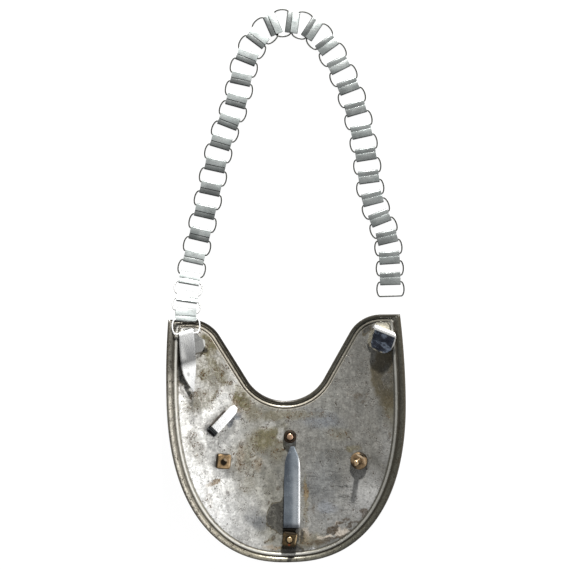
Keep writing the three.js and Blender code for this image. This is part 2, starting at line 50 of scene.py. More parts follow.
sheet = {
    "thickness": 1.0, "bendRadius": 160.0, "height": 2.8, "width": 172.2, "widestHeight": 7.5, "drop": 120.5,
    "fullness": 2.3, "hornHeight": 63.5, "hornInset": 2.5, "sideShare": 0.3,
    "neckRadius": 33.0, "neckLean": 30.1 * degree, "shoulderRadius": 26.0,
    "edgeBorder": 8.2, "neckBorder": 6.4, "borderRise": 0.9, "frontRise": 0.72,
    "stations": 150, "fieldRows": 24, "clearance": 0.3,
}
halfWidth = sheet["width"] / 2
plateLow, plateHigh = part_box("gorget_plate")
origin = Vector(((plateLow.x + plateHigh.x) / 2, plateLow.y + sheet["drop"] * toMetres, 0)) / toMetres


# Sheet: a plain bend about Y, with seats on it for everything that it carries

def onSheet(x, y, h):
    reach = math.sqrt(sheet["bendRadius"] ** 2 - x ** 2)
    z = sheet["height"] + sheet["bendRadius"] - reach + h * reach / sheet["bendRadius"]
    return Vector((x - h * x / sheet["bendRadius"], y, z))


def seatMatrix(x, y):
    turn = Matrix.Rotation(-math.asin(x / sheet["bendRadius"]), 4, "Y")
    return Matrix.Translation(onSheet(x, y, 0)) @ turn


def seatLift(halfSpan):
    return sheet["thickness"] / 2 + sheet["clearance"] + halfSpan ** 2 / (2 * sheet["bendRadius"])


# Pieces: from a bmesh in millimetres to an object in the frame

def meshFrom(bm, name):
    mesh = bpy.data.meshes.new(name)
    bm.to_mesh(mesh)
    bm.free()
    return mesh


def linkObject(name, data):
    made = bpy.data.objects.new(name, data)
    bpy.context.scene.collection.objects.link(made)
    return made


def toFrame(bm):
    bmesh.ops.translate(bm, vec=origin, verts=bm.verts)
    bmesh.ops.scale(bm, vec=(toMetres,) * 3, verts=bm.verts)


def smoothShade(mesh, sharp):
    mesh.shade_smooth()
    mesh.set_sharp_from_angle(angle=math.radians(sharp))


def finishPiece(name, bm, materials, nodes, slotName, sharp):
    toFrame(bm)
    mesh = meshFrom(bm, name)
    smoothShade(mesh, sharp)
    for material in materials:
        mesh.materials.append(material)
    piece = linkObject(name, mesh)
    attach(piece, "root")
    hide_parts(*nodes)
    return piece


def turnOutward(bm):
    bmesh.ops.recalc_face_normals(bm, faces=bm.faces)


def edgesOf(made):
    return list({edge for vertex in made["verts"] for edge in vertex.link_edges})


def gridSteps(bm, columns, rows):
    made = bmesh.ops.create_grid(bm, x_segments=columns, y_segments=rows, size=1)
    for vertex in made["verts"]:
        yield vertex, round((vertex.co.x + 1) / 2 * columns), round((vertex.co.y + 1) / 2 * rows)


# Shader helpers: a node with its inputs, and the few steps that every material repeats

def addNode(tree, kind, inputs=None, **settings):
    made = tree.nodes.new(kind)
    for key, value in settings.items():
        setattr(made, key, value)
    for key, value in (inputs or {}).items():
        feed(tree, made.inputs[key], value)
    return made


def feed(tree, socket, value):
    if isinstance(value, bpy.types.NodeSocket):
        tree.links.new(value, socket)
    else:
        socket.default_value = value


def maths(tree, operation, first, second):
    return addNode(tree, "ShaderNodeMath", {0: first, 1: second}, operation=operation).outputs[0]


def times(tree, first, second):
    return maths(tree, "MULTIPLY", first, second)


def larger(tree, first, second):
    return maths(tree, "MAXIMUM", first, second)


def vectorMaths(tree, operation, first, second):
    return addNode(tree, "ShaderNodeVectorMath", {0: first, 1: second}, operation=operation).outputs[0]


def scaled(tree, value, factor):
    return addNode(tree, "ShaderNodeVectorMath", {0: value, "Scale": factor}, operation="SCALE").outputs[0]


def attribute(tree, name):
    return addNode(tree, "ShaderNodeAttribute", attribute_name=name).outputs["Fac"]


def noiseOf(tree, where, scale, detail):
    return addNode(tree, "ShaderNodeTexNoise", {"Vector": where, "Scale": scale, "Detail": detail}).outputs


def blend(tree, kind, sockets, values):
    made = addNode(tree, "ShaderNodeMix", dict(zip(sockets, values)), data_type=kind)
    return made.outputs[2 if kind == "RGBA" else 0]


def blendColours(tree, factor, first, second):
    return blend(tree, "RGBA", (0, 6, 7), (factor, first, second))


def blendValues(tree, factor, first, second):
    return blend(tree, "FLOAT", (0, 2, 3), (factor, first, second))


def paint(tree, colour, mask, tint, strength=1.0):
    factor = mask if strength == 1.0 else times(tree, mask, strength)
    return blendColours(tree, factor, colour, (*tint, 1))


def spread(tree, value, low, high, toLow=0.0, toHigh=1.0):
    limits = dict(enumerate((value, low, high, toLow, toHigh)))
    return addNode(tree, "ShaderNodeMapRange", limits, interpolation_type="SMOOTHSTEP").outputs[0]


def ranged(tree, mask, toLow, toHigh):
    return spread(tree, mask, 0.0, 1.0, toLow, toHigh)


def band(tree, value, low, high, soft):
    rising = spread(tree, value, low - soft, low + soft)
    falling = spread(tree, value, high - soft, high + soft, 1.0, 0.0)
    return times(tree, rising, falling)


def rampOf(tree, value, stops):
    ramp = addNode(tree, "ShaderNodeValToRGB", {0: value})
    elements = ramp.color_ramp.elements
    while len(elements) < len(stops):
        elements.new(1.0)
    for element, (place, colour) in zip(elements, stops):
        element.position = place
        element.color = (*colour, 1.0)
    return ramp.outputs[0]


def millimetres(tree):
    place = addNode(tree, "ShaderNodeTexCoord").outputs["Object"]
    settings = {"Vector": place, "Scale": (1 / toMetres,) * 3, "Location": -origin}
    return addNode(tree, "ShaderNodeMapping", settings).outputs[0]


def newGroup(name, inputs):
    tree = bpy.data.node_groups.new(name, "ShaderNodeTree")
    for label, value in inputs.items():
        kind = "NodeSocketFloat" if isinstance(value, float) else "NodeSocketVector"
        socket = tree.interface.new_socket(name=label, in_out="INPUT", socket_type=kind)
        if value is not None:
            socket.default_value = value
    tree.interface.new_socket(name="Mask", in_out="OUTPUT", socket_type="NodeSocketFloat")
    return tree, addNode(tree, "NodeGroupInput").outputs, addNode(tree, "NodeGroupOutput").inputs["Mask"]


def useGroup(tree, group, **inputs):
    made = addNode(tree, "ShaderNodeGroup", node_tree=group)
    for key, value in inputs.items():
        feed(tree, made.inputs[key], value)
    return made.outputs[0]


# Shared effects: oval spots for stains and painted shade, cloudy tarnish, freckles, scratches and brushing

def makeSpotShape():
    tree, given, put = newGroup("spotShape", {
        "Vector": None, "Centre": None, "Size": (5, 5, 1), "Turn": 0.0, "Soft": 0.3, "Strength": 1.0,
    })
    away = vectorMaths(tree, "SUBTRACT", given["Vector"], given["Centre"])
    turning = {"Vector": away, "Angle": given["Turn"]}
    turned = addNode(tree, "ShaderNodeVectorRotate", turning, rotation_type="Z_AXIS").outputs[0]
    flat = vectorMaths(tree, "MULTIPLY", turned, (1, 1, 0))
    sized = vectorMaths(tree, "DIVIDE", flat, given["Size"])
    length = addNode(tree, "ShaderNodeVectorMath", {0: sized}, operation="LENGTH").outputs["Value"]
    inner = maths(tree, "SUBTRACT", 1.0, given["Soft"])
    outer = maths(tree, "ADD", 1.0, given["Soft"])
    mask = spread(tree, length, inner, outer, 1.0, 0.0)
    feed(tree, put, times(tree, mask, given["Strength"]))
    return tree


def makeClouds():
    tree, given, put = newGroup("clouds", {
        "Vector": None, "Scale": 0.1, "Low": 0.45, "High": 0.65, "Rough": 0.6,
    })
    noise = noiseOf(tree, given["Vector"], given["Scale"], 6.0)[0]
    tree.links.new(given["Rough"], noise.node.inputs["Roughness"])
    feed(tree, put, spread(tree, noise, given["Low"], given["High"]))
    return tree


def makeFreckles():
    tree, given, put = newGroup("freckles", {
        "Vector": None, "Scale": 0.6, "Size": 0.3,
    })
    settings = {"Vector": given["Vector"], "Scale": given["Scale"], "Randomness": 1.0}
    cells = addNode(tree, "ShaderNodeTexVoronoi", settings).outputs["Distance"]
    noise = noiseOf(tree, given["Vector"], 0.23, 3.0)[0]
    size = times(tree, given["Size"], spread(tree, noise, 0.42, 0.62))
    grown = maths(tree, "ADD", size, 0.02)
    feed(tree, put, spread(tree, cells, times(tree, grown, 0.6), grown, 1.0, 0.0))
    return tree


def makeScratches():
    tree, given, put = newGroup("scratches", {
        "Vector": None, "Turn": 0.0, "Scale": 1.0, "Stretch": 0.05, "Low": 0.6, "High": 0.7,
    })
    turning = {"Vector": given["Vector"], "Angle": given["Turn"]}
    turned = addNode(tree, "ShaderNodeVectorRotate", turning, rotation_type="Z_AXIS").outputs[0]
    long = addNode(tree, "ShaderNodeCombineXYZ", {0: given["Stretch"], 1: 1.0, 2: 1.0}).outputs[0]
    noise = noiseOf(tree, vectorMaths(tree, "MULTIPLY", turned, long), given["Scale"], 4.0)[0]
    noise.node.inputs["Roughness"].default_value = 0.7
    feed(tree, put, spread(tree, noise, given["Low"], given["High"]))
    return tree


spotShape = makeSpotShape()
clouds = makeClouds()
freckles = makeFreckles()
scratches = makeScratches()


def newMaterial(name, colour, roughness, metallic):
    material = bpy.data.materials.new(name)
    material.use_nodes = True
    shader = material.node_tree.nodes["Principled BSDF"]
    shader.inputs["Metallic"].default_value = metallic
    shader.inputs["Base Color"].default_value = (*colour, 1)
    shader.inputs["Roughness"].default_value = roughness
    return material, shader


def addBump(tree, shader, height, distance):
    bump = addNode(tree, "ShaderNodeBump", {"Height": height, "Strength": 1.0, "Distance": distance})
    tree.links.new(bump.outputs[0], shader.inputs["Normal"])


# Plate finish: lighter at the left and dull and tarnished at the right, the lighter left partly a painted
# reflection of the bright lamp, with its stains, painted shadows and painted highlights

# tone across the plate: tarnish, with a painted reflection that makes the left lighter
plateTarnishAndSheen = [  # place across the width, colour
    (0, (0.80, 0.79, 0.765)), (0.13, (0.86, 0.855, 0.835)), (0.24, (0.70, 0.695, 0.67)),
    (0.33, (0.50, 0.49, 0.45)), (0.42, (0.265, 0.258, 0.223)), (0.52, (0.225, 0.22, 0.203)),
    (0.66, (0.185, 0.184, 0.17)), (0.78, (0.168, 0.164, 0.15)), (0.9, (0.172, 0.168, 0.152)),
    (1, (0.135, 0.131, 0.113)),
]
# tone across the border: tarnish, with a painted reflection that makes the left lighter
rimTarnishAndSheen = [  # the same, for the border
    (0, (0.52, 0.495, 0.43)), (0.1, (0.50, 0.465, 0.39)), (0.3, (0.33, 0.305, 0.24)),
    (0.5, (0.17, 0.16, 0.125)), (0.75, (0.085, 0.083, 0.066)), (1, (0.06, 0.057, 0.044)),
]
stainsAndShade = {  # centre, half sizes, turn in degrees, softness and strength, by kind
    # clean: lighter patches, partly clean metal and partly a painted highlight on the left and lower left
    "cleanAndHighlight": [
        (37, -84, 27, 15, 20, 0.8, 0.2), (-66, -66, 9, 26, 14, 0.6, 0.85), (-30, -104, 16, 6, -20, 0.6, 0.5),
        (-54, -84, 17, 17, 30, 0.7, 0.85), (-40, -92, 12, 9, -30, 0.7, 0.6), (74, -32, 6, 15, 0, 0.8, 0.2),
        (-44.5, 8, 8.5, 4.6, 32, 0.12, 0.5), (-38.5, 12, 4.5, 2.2, 60, 0.15, 0.45),
        (-47, -86, 12, 16, 35, 0.6, 0.4), (15, -113.5, 13, 2.4, 10, 0.4, 0.9),
        (59, -72, 16, 17, 0, 0.7, 0.45), (-30, -76, 9, 9, 0, 0.7, 0.4), (-28, -100, 10, 6, -30, 0.6, 0.4),
        (-14, -18, 5, 4, 0, 0.6, 0.35), (-4.5, -24, 3, 5, 0, 0.5, 0.35),
    ],
    "grey": [
        (-58, 32, 13, 24, 25, 0.4, 0.55), (-66, -6, 6, 10, 10, 0.7, 0.5), (-60, -30, 8, 14, 5, 0.8, 0.32),
        (20, 2, 30, 9, 25, 0.8, 0.35), (-70, 22, 7, 20, 5, 0.7, 0.5), (-57, -16, 9, 8, 0, 0.7, 0.5),
        (-40, -52, 8, 8, 0, 0.8, 0.4), (-36, -88, 7, 10, -30, 0.6, 0.55), (-52, -44, 12, 3, 0, 0.6, 0.35),
        (70, 32, 12, 26, 8, 0.8, 0.55), (66, -2, 12, 5, 30, 0.9, 0.5), (52, -10, 6, 12, 20, 0.9, 0.35),
        (-45, -100, 8, 5, -45, 0.7, 0.4),
    ],
    "olive": [
        (-33, -42, 11, 13, 0, 0.45, 0.5), (-18, -28, 12, 9, 20, 0.45, 0.9), (-7, -33, 6, 12, 0, 0.5, 0.7),
        (-57, 44, 8, 10, 25, 0.3, 1), (-54, 24, 12, 18, 25, 0.4, 0.72), (-35, 5, 5.5, 14, 40, 0.35, 1),
        (-62, 4, 12, 8, 20, 0.5, 0.8), (-50, 8, 14, 3, 40, 0.4, 0.9), (0, -10.5, 26, 3.5, 0, 0.5, 0.7),
        (17, -104, 11, 5, 8, 0.4, 0.8), (49, -35.5, 5, 2, 15, 0.5, 0.8), (-26, -7, 9, 6, -35, 0.5, 0.75),
        (76, -2, 5, 15, 0, 0.6, 0.7), (12.8, -74, 1.6, 18, 0, 0.4, 0.9), (39, -25, 8, 5, 0, 0.6, 0.45),
        (-68, -30, 5, 14, 12, 0.6, 0.4), (-15, -103.5, 3.2, 1.8, 0, 0.45, 0.9),
        (-62, -74, 3, 10, 15, 0.6, 0.45), (-30, -60, 6, 10, 0, 0.7, 0.45), (78, 28, 4, 20, 2, 0.6, 0.6),
    ],
    "yellow": [
        (-50, 24, 3, 17, 32, 0.4, 0.55), (-34, 1, 2.5, 9, 42, 0.4, 0.8), (-56.5, 46, 3.5, 6, 30, 0.6, 0.6),
        (-59, 22, 3.5, 4, 0, 0.6, 0.6), (-13, -23.5, 7, 3.5, 10, 0.6, 0.6), (-30, -38, 3, 8, 0, 0.6, 0.4),
        (-2, -19, 4, 3, 0, 0.6, 0.4), (46, -36.5, 2.5, 1.5, 0, 0.6, 0.5), (-18, -30, 8, 5, 25, 0.6, 0.5),
        (66, -88, 3, 2, 40, 0.5, 0.6),
    ],
    "tan": [
        (-55, -57.8, 5.4, 2, 18, 0.2, 1), (-58, -70, 1.8, 7.5, 15, 0.6, 0.55),
        (-13, -109.2, 9, 1.5, -6, 0.3, 0.9), (12.8, -68, 1.3, 7, 0, 0.4, 0.85),
        (10.8, -101, 4.5, 5.5, 0, 0.5, 0.5), (-53.5, -80, 2, 3, 20, 0.6, 0.45),
        (-37.5, -2, 2.4, 7, 20, 0.5, 0.7), (-35, -40, 2.6, 9, -8, 0.6, 0.5), (-22, -46, 3, 5, 0, 0.6, 0.5),
    ],
    "peach": [
        (38.4, -98, 4.8, 3.4, 20, 0.35, 0.9), (35, -91.5, 2.4, 1.6, 20, 0.4, 0.7),
        (29, -101.5, 3.4, 1.2, 10, 0.3, 0.95), (24, -102, 3, 1, 10, 0.4, 0.7), (13, -97, 2, 3, 0, 0.5, 0.5),
    ],
    "brown": [
        (31.7, -96.2, 5.2, 3.4, 10, 0.2, 1), (37, -90.5, 4.4, 1.3, 28, 0.3, 1),
        (42.5, -87.9, 4.2, 0.9, -10, 0.4, 0.9), (44.5, -92.5, 4.5, 0.9, 38, 0.35, 0.9),
        (36.5, -101.5, 6, 1.2, 22, 0.35, 0.9), (50, -89.5, 2.6, 0.9, 30, 0.4, 0.8),
        (53.8, -82.2, 2.4, 2, -20, 0.3, 0.95), (57.2, -82, 2.3, 2.1, 30, 0.3, 0.95),
        (55.4, -84.8, 1.9, 2.8, 0, 0.3, 0.95), (23.5, -105.3, 10, 2.2, 12, 0.35, 0.85),
        (41, -100.5, 3, 1.5, 20, 0.4, 0.8), (-76.5, 16.5, 2.4, 2.6, 0, 0.4, 0.65),
        (-76.2, 10.5, 2.6, 2, 0, 0.4, 0.65), (-8.5, -65.4, 1.7, 1.2, 20, 0.4, 0.8),
        (-15.4, -74.8, 1, 0.9, 0, 0.4, 0.8), (-43.5, -66, 1.4, 2, 0, 0.5, 0.55),
        (-36, -3, 1.5, 1.4, 0, 0.4, 0.7), (-62, -31, 1.2, 3, 5, 0.5, 0.45),
        (52.3, 3.5, 3, 2.4, 30, 0.4, 0.7), (57, -0.5, 1.8, 1.2, 0, 0.4, 0.6),
        (58, 4.5, 1.2, 2.6, -25, 0.4, 0.5), (75, -23, 0.9, 2.6, 0, 0.5, 0.7),
        (18, -82, 1.2, 3.5, 15, 0.5, 0.6), (44, -96, 1.4, 1, 0, 0.4, 0.7),
        (-17.5, -104.5, 1.2, 1.2, 0, 0.4, 0.8), (-12.4, -102.5, 1.3, 1.2, 0, 0.4, 0.8),
        (30, -88, 1.2, 0.8, 0, 0.4, 0.7),
    ],
    # dark: mostly painted shadows cast by the tongue, the bottom nut, the hook and the catch, with some dark
    # tarnish at the left border
    "dark": [
        (-6.5, -87, 10.5, 11.5, 12, 0.14, 0.85), (-4, -74.5, 2.5, 5.5, -20, 0.25, 0.85),
        (1.5, -111.5, 7, 5, 0, 0.22, 0.9), (0.6, -118.5, 2, 4.5, 0, 0.3, 1), (75, 18, 9, 17, 4, 0.8, 0.6),
        (9.5, -100.5, 1.4, 5, -8, 0.4, 0.9), (60.5, 53, 2.5, 5, -20, 0.4, 0.95),
        (-77.6, 38, 2.6, 18, -2, 0.45, 1), (-74.2, 18, 1.5, 7.5, 20, 0.4, 0.9),
        (-70.4, 9.2, 1.1, 3.6, 32, 0.4, 0.8), (-83.5, 42, 5.5, 22, 0, 0.5, 0.85),
        (-82, 12, 3.5, 3, 0, 0.6, 0.45), (-59.5, 41.5, 1.6, 4.4, 38, 0.3, 0.85),
        (-71.5, 59.3, 9, 1.6, 4, 0.5, 0.9),
    ],
    "blue": [
        (25, -14, 15, 6, -12, 0.7, 0.6), (-25, -88, 9, 6, -30, 0.6, 0.6),
        (28.5, -79.5, 6.5, 4.5, 0, 0.5, 0.75), (24, -60, 12, 16, 0, 0.8, 0.3),
        (-37, -9, 4, 2.4, 40, 0.25, 0.9), (-41.5, -14, 4, 2.4, 48, 0.25, 0.85),
    ],
    "solder": [
        (72.5, 56.5, 11, 3.2, -22, 0.2, 0.9), (83.5, 47, 2.6, 7, 8, 0.25, 0.9),
        (64, 45.5, 2.2, 5.5, -8, 0.3, 0.75), (-61.6, 44.6, 2, 4.2, 36, 0.2, 0.9),
        (74, 41, 7, 1.2, -15, 0.3, 0.6),
    ],
}
# colour of each kind; dark is mostly painted shadow, clean partly a painted highlight
stainAndShadeColours = {
    "cleanAndHighlight": (0.74, 0.74, 0.735), "grey": (0.20, 0.196, 0.18), "olive": (0.125, 0.108, 0.06),
    "yellow": (0.125, 0.11, 0.045), "tan": (0.22, 0.152, 0.075), "peach": (0.60, 0.53, 0.45),
    "brown": (0.06, 0.041, 0.023), "dark": (0.022, 0.02, 0.016), "blue": (0.145, 0.163, 0.195),
    "solder": (0.40, 0.375, 0.30),
}
frayedKinds = ("olive", "yellow", "tan")
breakUp = {  # how much of each kind cloudy wear takes away
    "grey": 0.35, "blue": 0.55, "olive": 0.62, "yellow": 0.7, "tan": 0.6, "cleanAndHighlight": 0.45,
}
rimLines = [  # border, inner and outer limits in millimetres from its edge, colour, strength
    ("edge", -1.0, 0.75, (0.05, 0.04, 0.026), 0.8), ("edge", 3.7, 4.9, (0.022, 0.017, 0.01), 0.8),
    ("edge", 7.3, 8.2, (0.055, 0.05, 0.04), 0.65), ("neck", 2.7, 3.7, (0.016, 0.013, 0.01), 1.0),
    ("neck", 5.0, 5.6, (0.05, 0.045, 0.036), 0.8),
]


def spotMask(tree, where, row):
    x, y, halfLength, halfHeight, turn, soft, strength = row[:7]
    return useGroup(
        tree, spotShape, Vector=where, Centre=(x, y, 0), Size=(halfLength, halfHeight, 1),
        Turn=-turn * degree, Soft=soft, Strength=strength,
    )


def gatherStainsAndShade(tree, where, kind):
    masks = [spotMask(tree, where, row) for row in stainsAndShade[kind]]
    gathered = masks[0]
    for mask in masks[1:]:
        gathered = larger(tree, gathered, mask)
    return gathered


def raggedPlace(tree, place, coarse, fine):
    moved = place
    for scale, detail, amount in ((0.16, 3.0, coarse), (0.9, 4.0, fine)):
        noise = noiseOf(tree, place, scale, detail)["Color"]
        centred = vectorMaths(tree, "SUBTRACT", noise, (0.5, 0.5, 0.5))
        moved = vectorMaths(tree, "ADD", moved, scaled(tree, centred, amount))
    return moved


def acrossOf(tree, place):
    return addNode(tree, "ShaderNodeSeparateXYZ", {0: place}).outputs[0]


def acrossPlate(tree, place):
    limits = {0: acrossOf(tree, place), 1: -halfWidth, 2: halfWidth}
    return addNode(tree, "ShaderNodeMapRange", limits).outputs[0]


def makePlateSteel():
    material, shader = newMaterial("plateSteel", (0.5, 0.5, 0.48), 0.34, 0.35)
    tree = material.node_tree
    place = millimetres(tree)
    ragged = raggedPlace(tree, place, 9.0, 2.4)
    frayed = raggedPlace(tree, place, 5.0, 5.0)
    colour = rampOf(tree, acrossPlate(tree, raggedPlace(tree, place, 22.0, 4.0)), plateTarnishAndSheen)
    shade = useGroup(tree, clouds, Vector=place, Scale=0.05, Low=0.3, High=0.7)
    colour = scaled(tree, colour, ranged(tree, shade, 0.76, 1.18))
    drawn = useGroup(
        tree, scratches, Vector=place, Turn=90 * degree, Scale=0.3, Stretch=0.3, Low=0.3, High=0.7,
    )
    colour = scaled(tree, colour, ranged(tree, drawn, 0.88, 1.1))
    masks = {kind: gatherStainsAndShade(tree, frayed if kind in frayedKinds else ragged, kind) for kind in stainsAndShade}
    blotches = useGroup(tree, clouds, Vector=ragged, Scale=0.3, Low=0.36, High=0.58)
    fine = useGroup(tree, clouds, Vector=place, Scale=0.8, Low=0.36, High=0.66, Rough=0.75)
    patchy = times(tree, ranged(tree, blotches, 0.55, 1.0), ranged(tree, fine, 0.65, 1.0))
    for kind, amount in breakUp.items():
        broken = blendValues(tree, amount, masks[kind], times(tree, masks[kind], patchy))
        colour = paint(tree, colour, broken, stainAndShadeColours[kind])

    colour = scaled(tree, colour, ranged(tree, blotches, 1.1, 0.87))
    tarnished = larger(tree, masks["olive"], masks["tan"])
    rusty = useGroup(tree, freckles, Vector=ragged, Scale=0.62, Size=0.5)
    region = spread(tree, tarnished, 0.0, 0.5, 0.16, 1.0)
    colour = paint(tree, colour, times(tree, rusty, region), (0.085, 0.05, 0.024))
    specks = useGroup(tree, freckles, Vector=place, Scale=0.95, Size=0.42)
    colour = paint(tree, colour, specks, (0.05, 0.042, 0.032), 0.65)
    pits = useGroup(tree, freckles, Vector=place, Scale=0.3, Size=0.2)
    colour = paint(tree, colour, pits, (0.045, 0.036, 0.026), 0.8)
    for kind in ("peach", "solder", "brown"):
        worn = times(tree, masks[kind], ranged(tree, fine, 0.6, 1.0))
        colour = paint(tree, colour, worn, stainAndShadeColours[kind])
    # a brown fringe round the painted shadows, then the painted shadows and dark tarnish themselves
    halo = band(tree, masks["dark"], 0.12, 0.55, 0.1)
    colour = paint(tree, colour, halo, (0.085, 0.068, 0.035), 0.8)
    tarnishAndShadow = times(tree, masks["dark"], ranged(tree, blotches, 0.8, 1.0))
    colour = paint(tree, colour, tarnishAndShadow, stainAndShadeColours["dark"])

    rubbed = useGroup(tree, scratches, Vector=place, Turn=0.05, Scale=0.5, Stretch=0.06, Low=0.56, High=0.64)
    window = spotMask(tree, place, (29, -64, 24, 18, 0, 0.6, 0.75))
    colour = paint(tree, colour, times(tree, rubbed, window), (0.06, 0.06, 0.057))
    hairs = useGroup(tree, scratches, Vector=place, Turn=1.1, Scale=1.5, Stretch=0.02, Low=0.6, High=0.68)
    colour = paint(tree, colour, hairs, (0.42, 0.42, 0.41), 0.25)
    grain = useGroup(tree, clouds, Vector=place, Scale=0.55, Low=0.25, High=0.75, Rough=0.8)
    colour = scaled(tree, colour, ranged(tree, grain, 0.72, 1.26))
    colour = paintRim(tree, place, colour, fine, larger(tree, specks, rusty), masks["dark"])
    tree.links.new(colour, shader.inputs["Base Color"])
    tree.links.new(spread(tree, acrossOf(tree, place), -48.0, 8.0, 0.8, 0.38), shader.inputs["Metallic"])

    rough = ranged(tree, larger(tree, tarnished, masks["dark"]), 0.34, 0.6)
    tree.links.new(maths(tree, "ADD", rough, times(tree, blotches, 0.06)), shader.inputs["Roughness"])
    waves = noiseOf(tree, place, 0.06, 2.0)[0]
    small = noiseOf(tree, place, 1.2, 5.0)[0]
    sunk = times(tree, larger(tree, specks, pits), -0.12)
    height = maths(tree, "ADD", maths(tree, "ADD", waves, times(tree, small, 0.05)), sunk)
    addBump(tree, shader, height, 0.0007)
    return material


def paintRim(tree, place, colour, fine, specks, dark):
    edge, neck = attribute(tree, "edgeInset"), attribute(tree, "neckInset")
    x = acrossOf(tree, place)
    onLeft = spread(tree, x, -8.0, 20.0, 1.0, 0.4)
    tone = rampOf(tree, acrossPlate(tree, raggedPlace(tree, place, 16.0, 8.0)), rimTarnishAndSheen)
    tone = scaled(tree, tone, ranged(tree, fine, 0.72, 1.25))
    tone = paint(tree, tone, specks, (0.035, 0.028, 0.018), 0.8)
    # the painted shadows and dark tarnish also cover the border
    tone = paint(tree, tone, dark, stainAndShadeColours["dark"], 0.9)
    onEdge = spread(tree, edge, 7.4, 8.2, 1.0, 0.0)
    onNeck = spread(tree, neck, 5.6, 6.4, 1.0, 0.0)
    colour = blendColours(tree, larger(tree, onEdge, onNeck), colour, tone)
    # painted highlight along the outer border's ridge, strongest on the left
    bright = times(tree, band(tree, edge, 5.3, 6.8, 0.4), onLeft)
    colour = paint(tree, colour, bright, (0.66, 0.65, 0.61), 0.85)
    # painted highlights on the neck border's two ridges, strongest on the left
    ridgeHighlights = larger(tree, band(tree, neck, 3.9, 4.8, 0.25), band(tree, neck, 5.7, 6.3, 0.2))
    highlightOnLeft = spread(tree, x, 10.0, 60.0, 0.8, 0.15)
    colour = paint(tree, colour, times(tree, ridgeHighlights, highlightOnLeft), (0.50, 0.455, 0.38))
    worn = ranged(tree, fine, 0.7, 1.0)
    for border, inner, outer, tint, strength in rimLines:
        line = band(tree, edge if border == "edge" else neck, inner, outer, 0.22)
        colour = paint(tree, colour, times(tree, line, worn), tint, strength)
    # painted shade on the neck border's outer roll, on the left
    outer = times(tree, band(tree, neck, -1.0, 2.1, 0.3), ranged(tree, onLeft, 0.6, 1.0))
    return paint(tree, colour, outer, (0.02, 0.017, 0.012))


# Other finishes

pieceAxes = ("acrossPiece", "alongPiece", "heightPiece")


def placeOnPiece(tree):
    return [attribute(tree, name) for name in pieceAxes]


def makeBrass(name, settings, top):
    bright, grimy, roughness, spots = settings
    material, shader = newMaterial(name, bright, roughness, 0.8)
    tree = material.node_tree
    place = millimetres(tree)
    across, along, high = placeOnPiece(tree)
    onPiece = addNode(tree, "ShaderNodeCombineXYZ", {0: across, 1: along}).outputs[0]
    grime = useGroup(tree, clouds, Vector=place, Scale=0.35, Low=0.35, High=0.62)
    dots = useGroup(tree, freckles, Vector=place, Scale=1.3, Size=0.5)
    colour = paint(tree, (*bright, 1), grime, grimy)
    colour = paint(tree, colour, dots, (0.04, 0.028, 0.016), 0.6)
    # painted shade over the sides, seat and bore, below the top face
    wallShade = spread(tree, high, top - 0.9, top - 0.3, 0.8, 0.0)
    colour = paint(tree, colour, wallShade, (0.03, 0.021, 0.012))
    for row in spots:
        colour = paint(tree, colour, spotMask(tree, onPiece, row), row[7])
    tree.links.new(colour, shader.inputs["Base Color"])
    tree.links.new(ranged(tree, grime, roughness, roughness + 0.2), shader.inputs["Roughness"])
    addBump(tree, shader, noiseOf(tree, place, 2.0, 4.0)[0], 0.00012)
    return material


def makeSteel(name, dress, bright, dull, roughness, turn, grain, specks=0.3, metallic=0.85):
    material, shader = newMaterial(name, bright, roughness, metallic)
    tree = material.node_tree
    place = millimetres(tree)
    brushed = useGroup(tree, scratches, Vector=place, Turn=turn, Scale=2.6, Stretch=0.04, Low=0.35, High=0.7)
    cloud = useGroup(tree, clouds, Vector=place, Scale=0.16, Low=0.35, High=0.7)
    colour = paint(tree, (*bright, 1), cloud, dull, 0.8)
    colour = paint(tree, colour, times(tree, brushed, grain), dull)
    spots = useGroup(tree, freckles, Vector=place, Scale=0.5, Size=0.26)
    colour = paint(tree, colour, times(tree, spots, specks), (0.12, 0.11, 0.09))
    tree.links.new(dress(tree, colour), shader.inputs["Base Color"])
    tree.links.new(ranged(tree, brushed, roughness, roughness + 0.1), shader.inputs["Roughness"])
    addBump(tree, shader, brushed, 0.00002)
    return material


def baseMask(tree, high):
    return spread(tree, high, leafSheet + 0.1, leafSheet + 0.6, 1.0, 0.0)


# the leaf's grey along its length: a painted shade band across its bend and a painted highlight at the fold
hookShading = [  # place from the leaf's tip to its fold, grey
    (0, 0.48), (0.2, 0.62), (0.4, 0.68), (0.46, 0.4), (0.51, 0.15), (0.6, 0.19), (0.76, 0.33), (0.9, 0.5),
    (0.93, 0.5), (0.95, 0.95),
]


def dressHook(tree, colour):
    across, along, high = placeOnPiece(tree)
    share = addNode(tree, "ShaderNodeMapRange", {0: along, 1: -hook["length"], 2: 2.8}).outputs[0]
    tone = rampOf(tree, share, [(at, (grey, grey, grey * 0.99)) for at, grey in hookShading])
    # the leaf's left edge pulled towards mid grey within that painted shading
    left = times(tree, spread(tree, across, -8.5, -5.5, 1.0, 0.0), band(tree, along, -17.0, -2.0, 2.0))
    tone = paint(tree, tone, left, (0.5, 0.5, 0.49), 0.6)
    colour = vectorMaths(tree, "MULTIPLY", colour, tone)
    speck = spotMask(tree, millimetres(tree), (-70, 24, 0.9, 1.5, 0, 0.5, 0.7))
    colour = paint(tree, colour, speck, (0.25, 0.25, 0.25))
    onBase = baseMask(tree, high)
    colour = paint(tree, colour, onBase, (0.17, 0.17, 0.165), 0.9)
    # a painted highlight on the base's corner
    corner = times(tree, onBase, times(tree, spread(tree, across, 9.6, 10.4), 0.85))
    colour = paint(tree, colour, corner, (0.45, 0.45, 0.43))
    foot = times(tree, onBase, times(tree, spread(tree, along, -15.4, -16.2), 0.9))
    return paint(tree, colour, foot, (0.06, 0.052, 0.042))


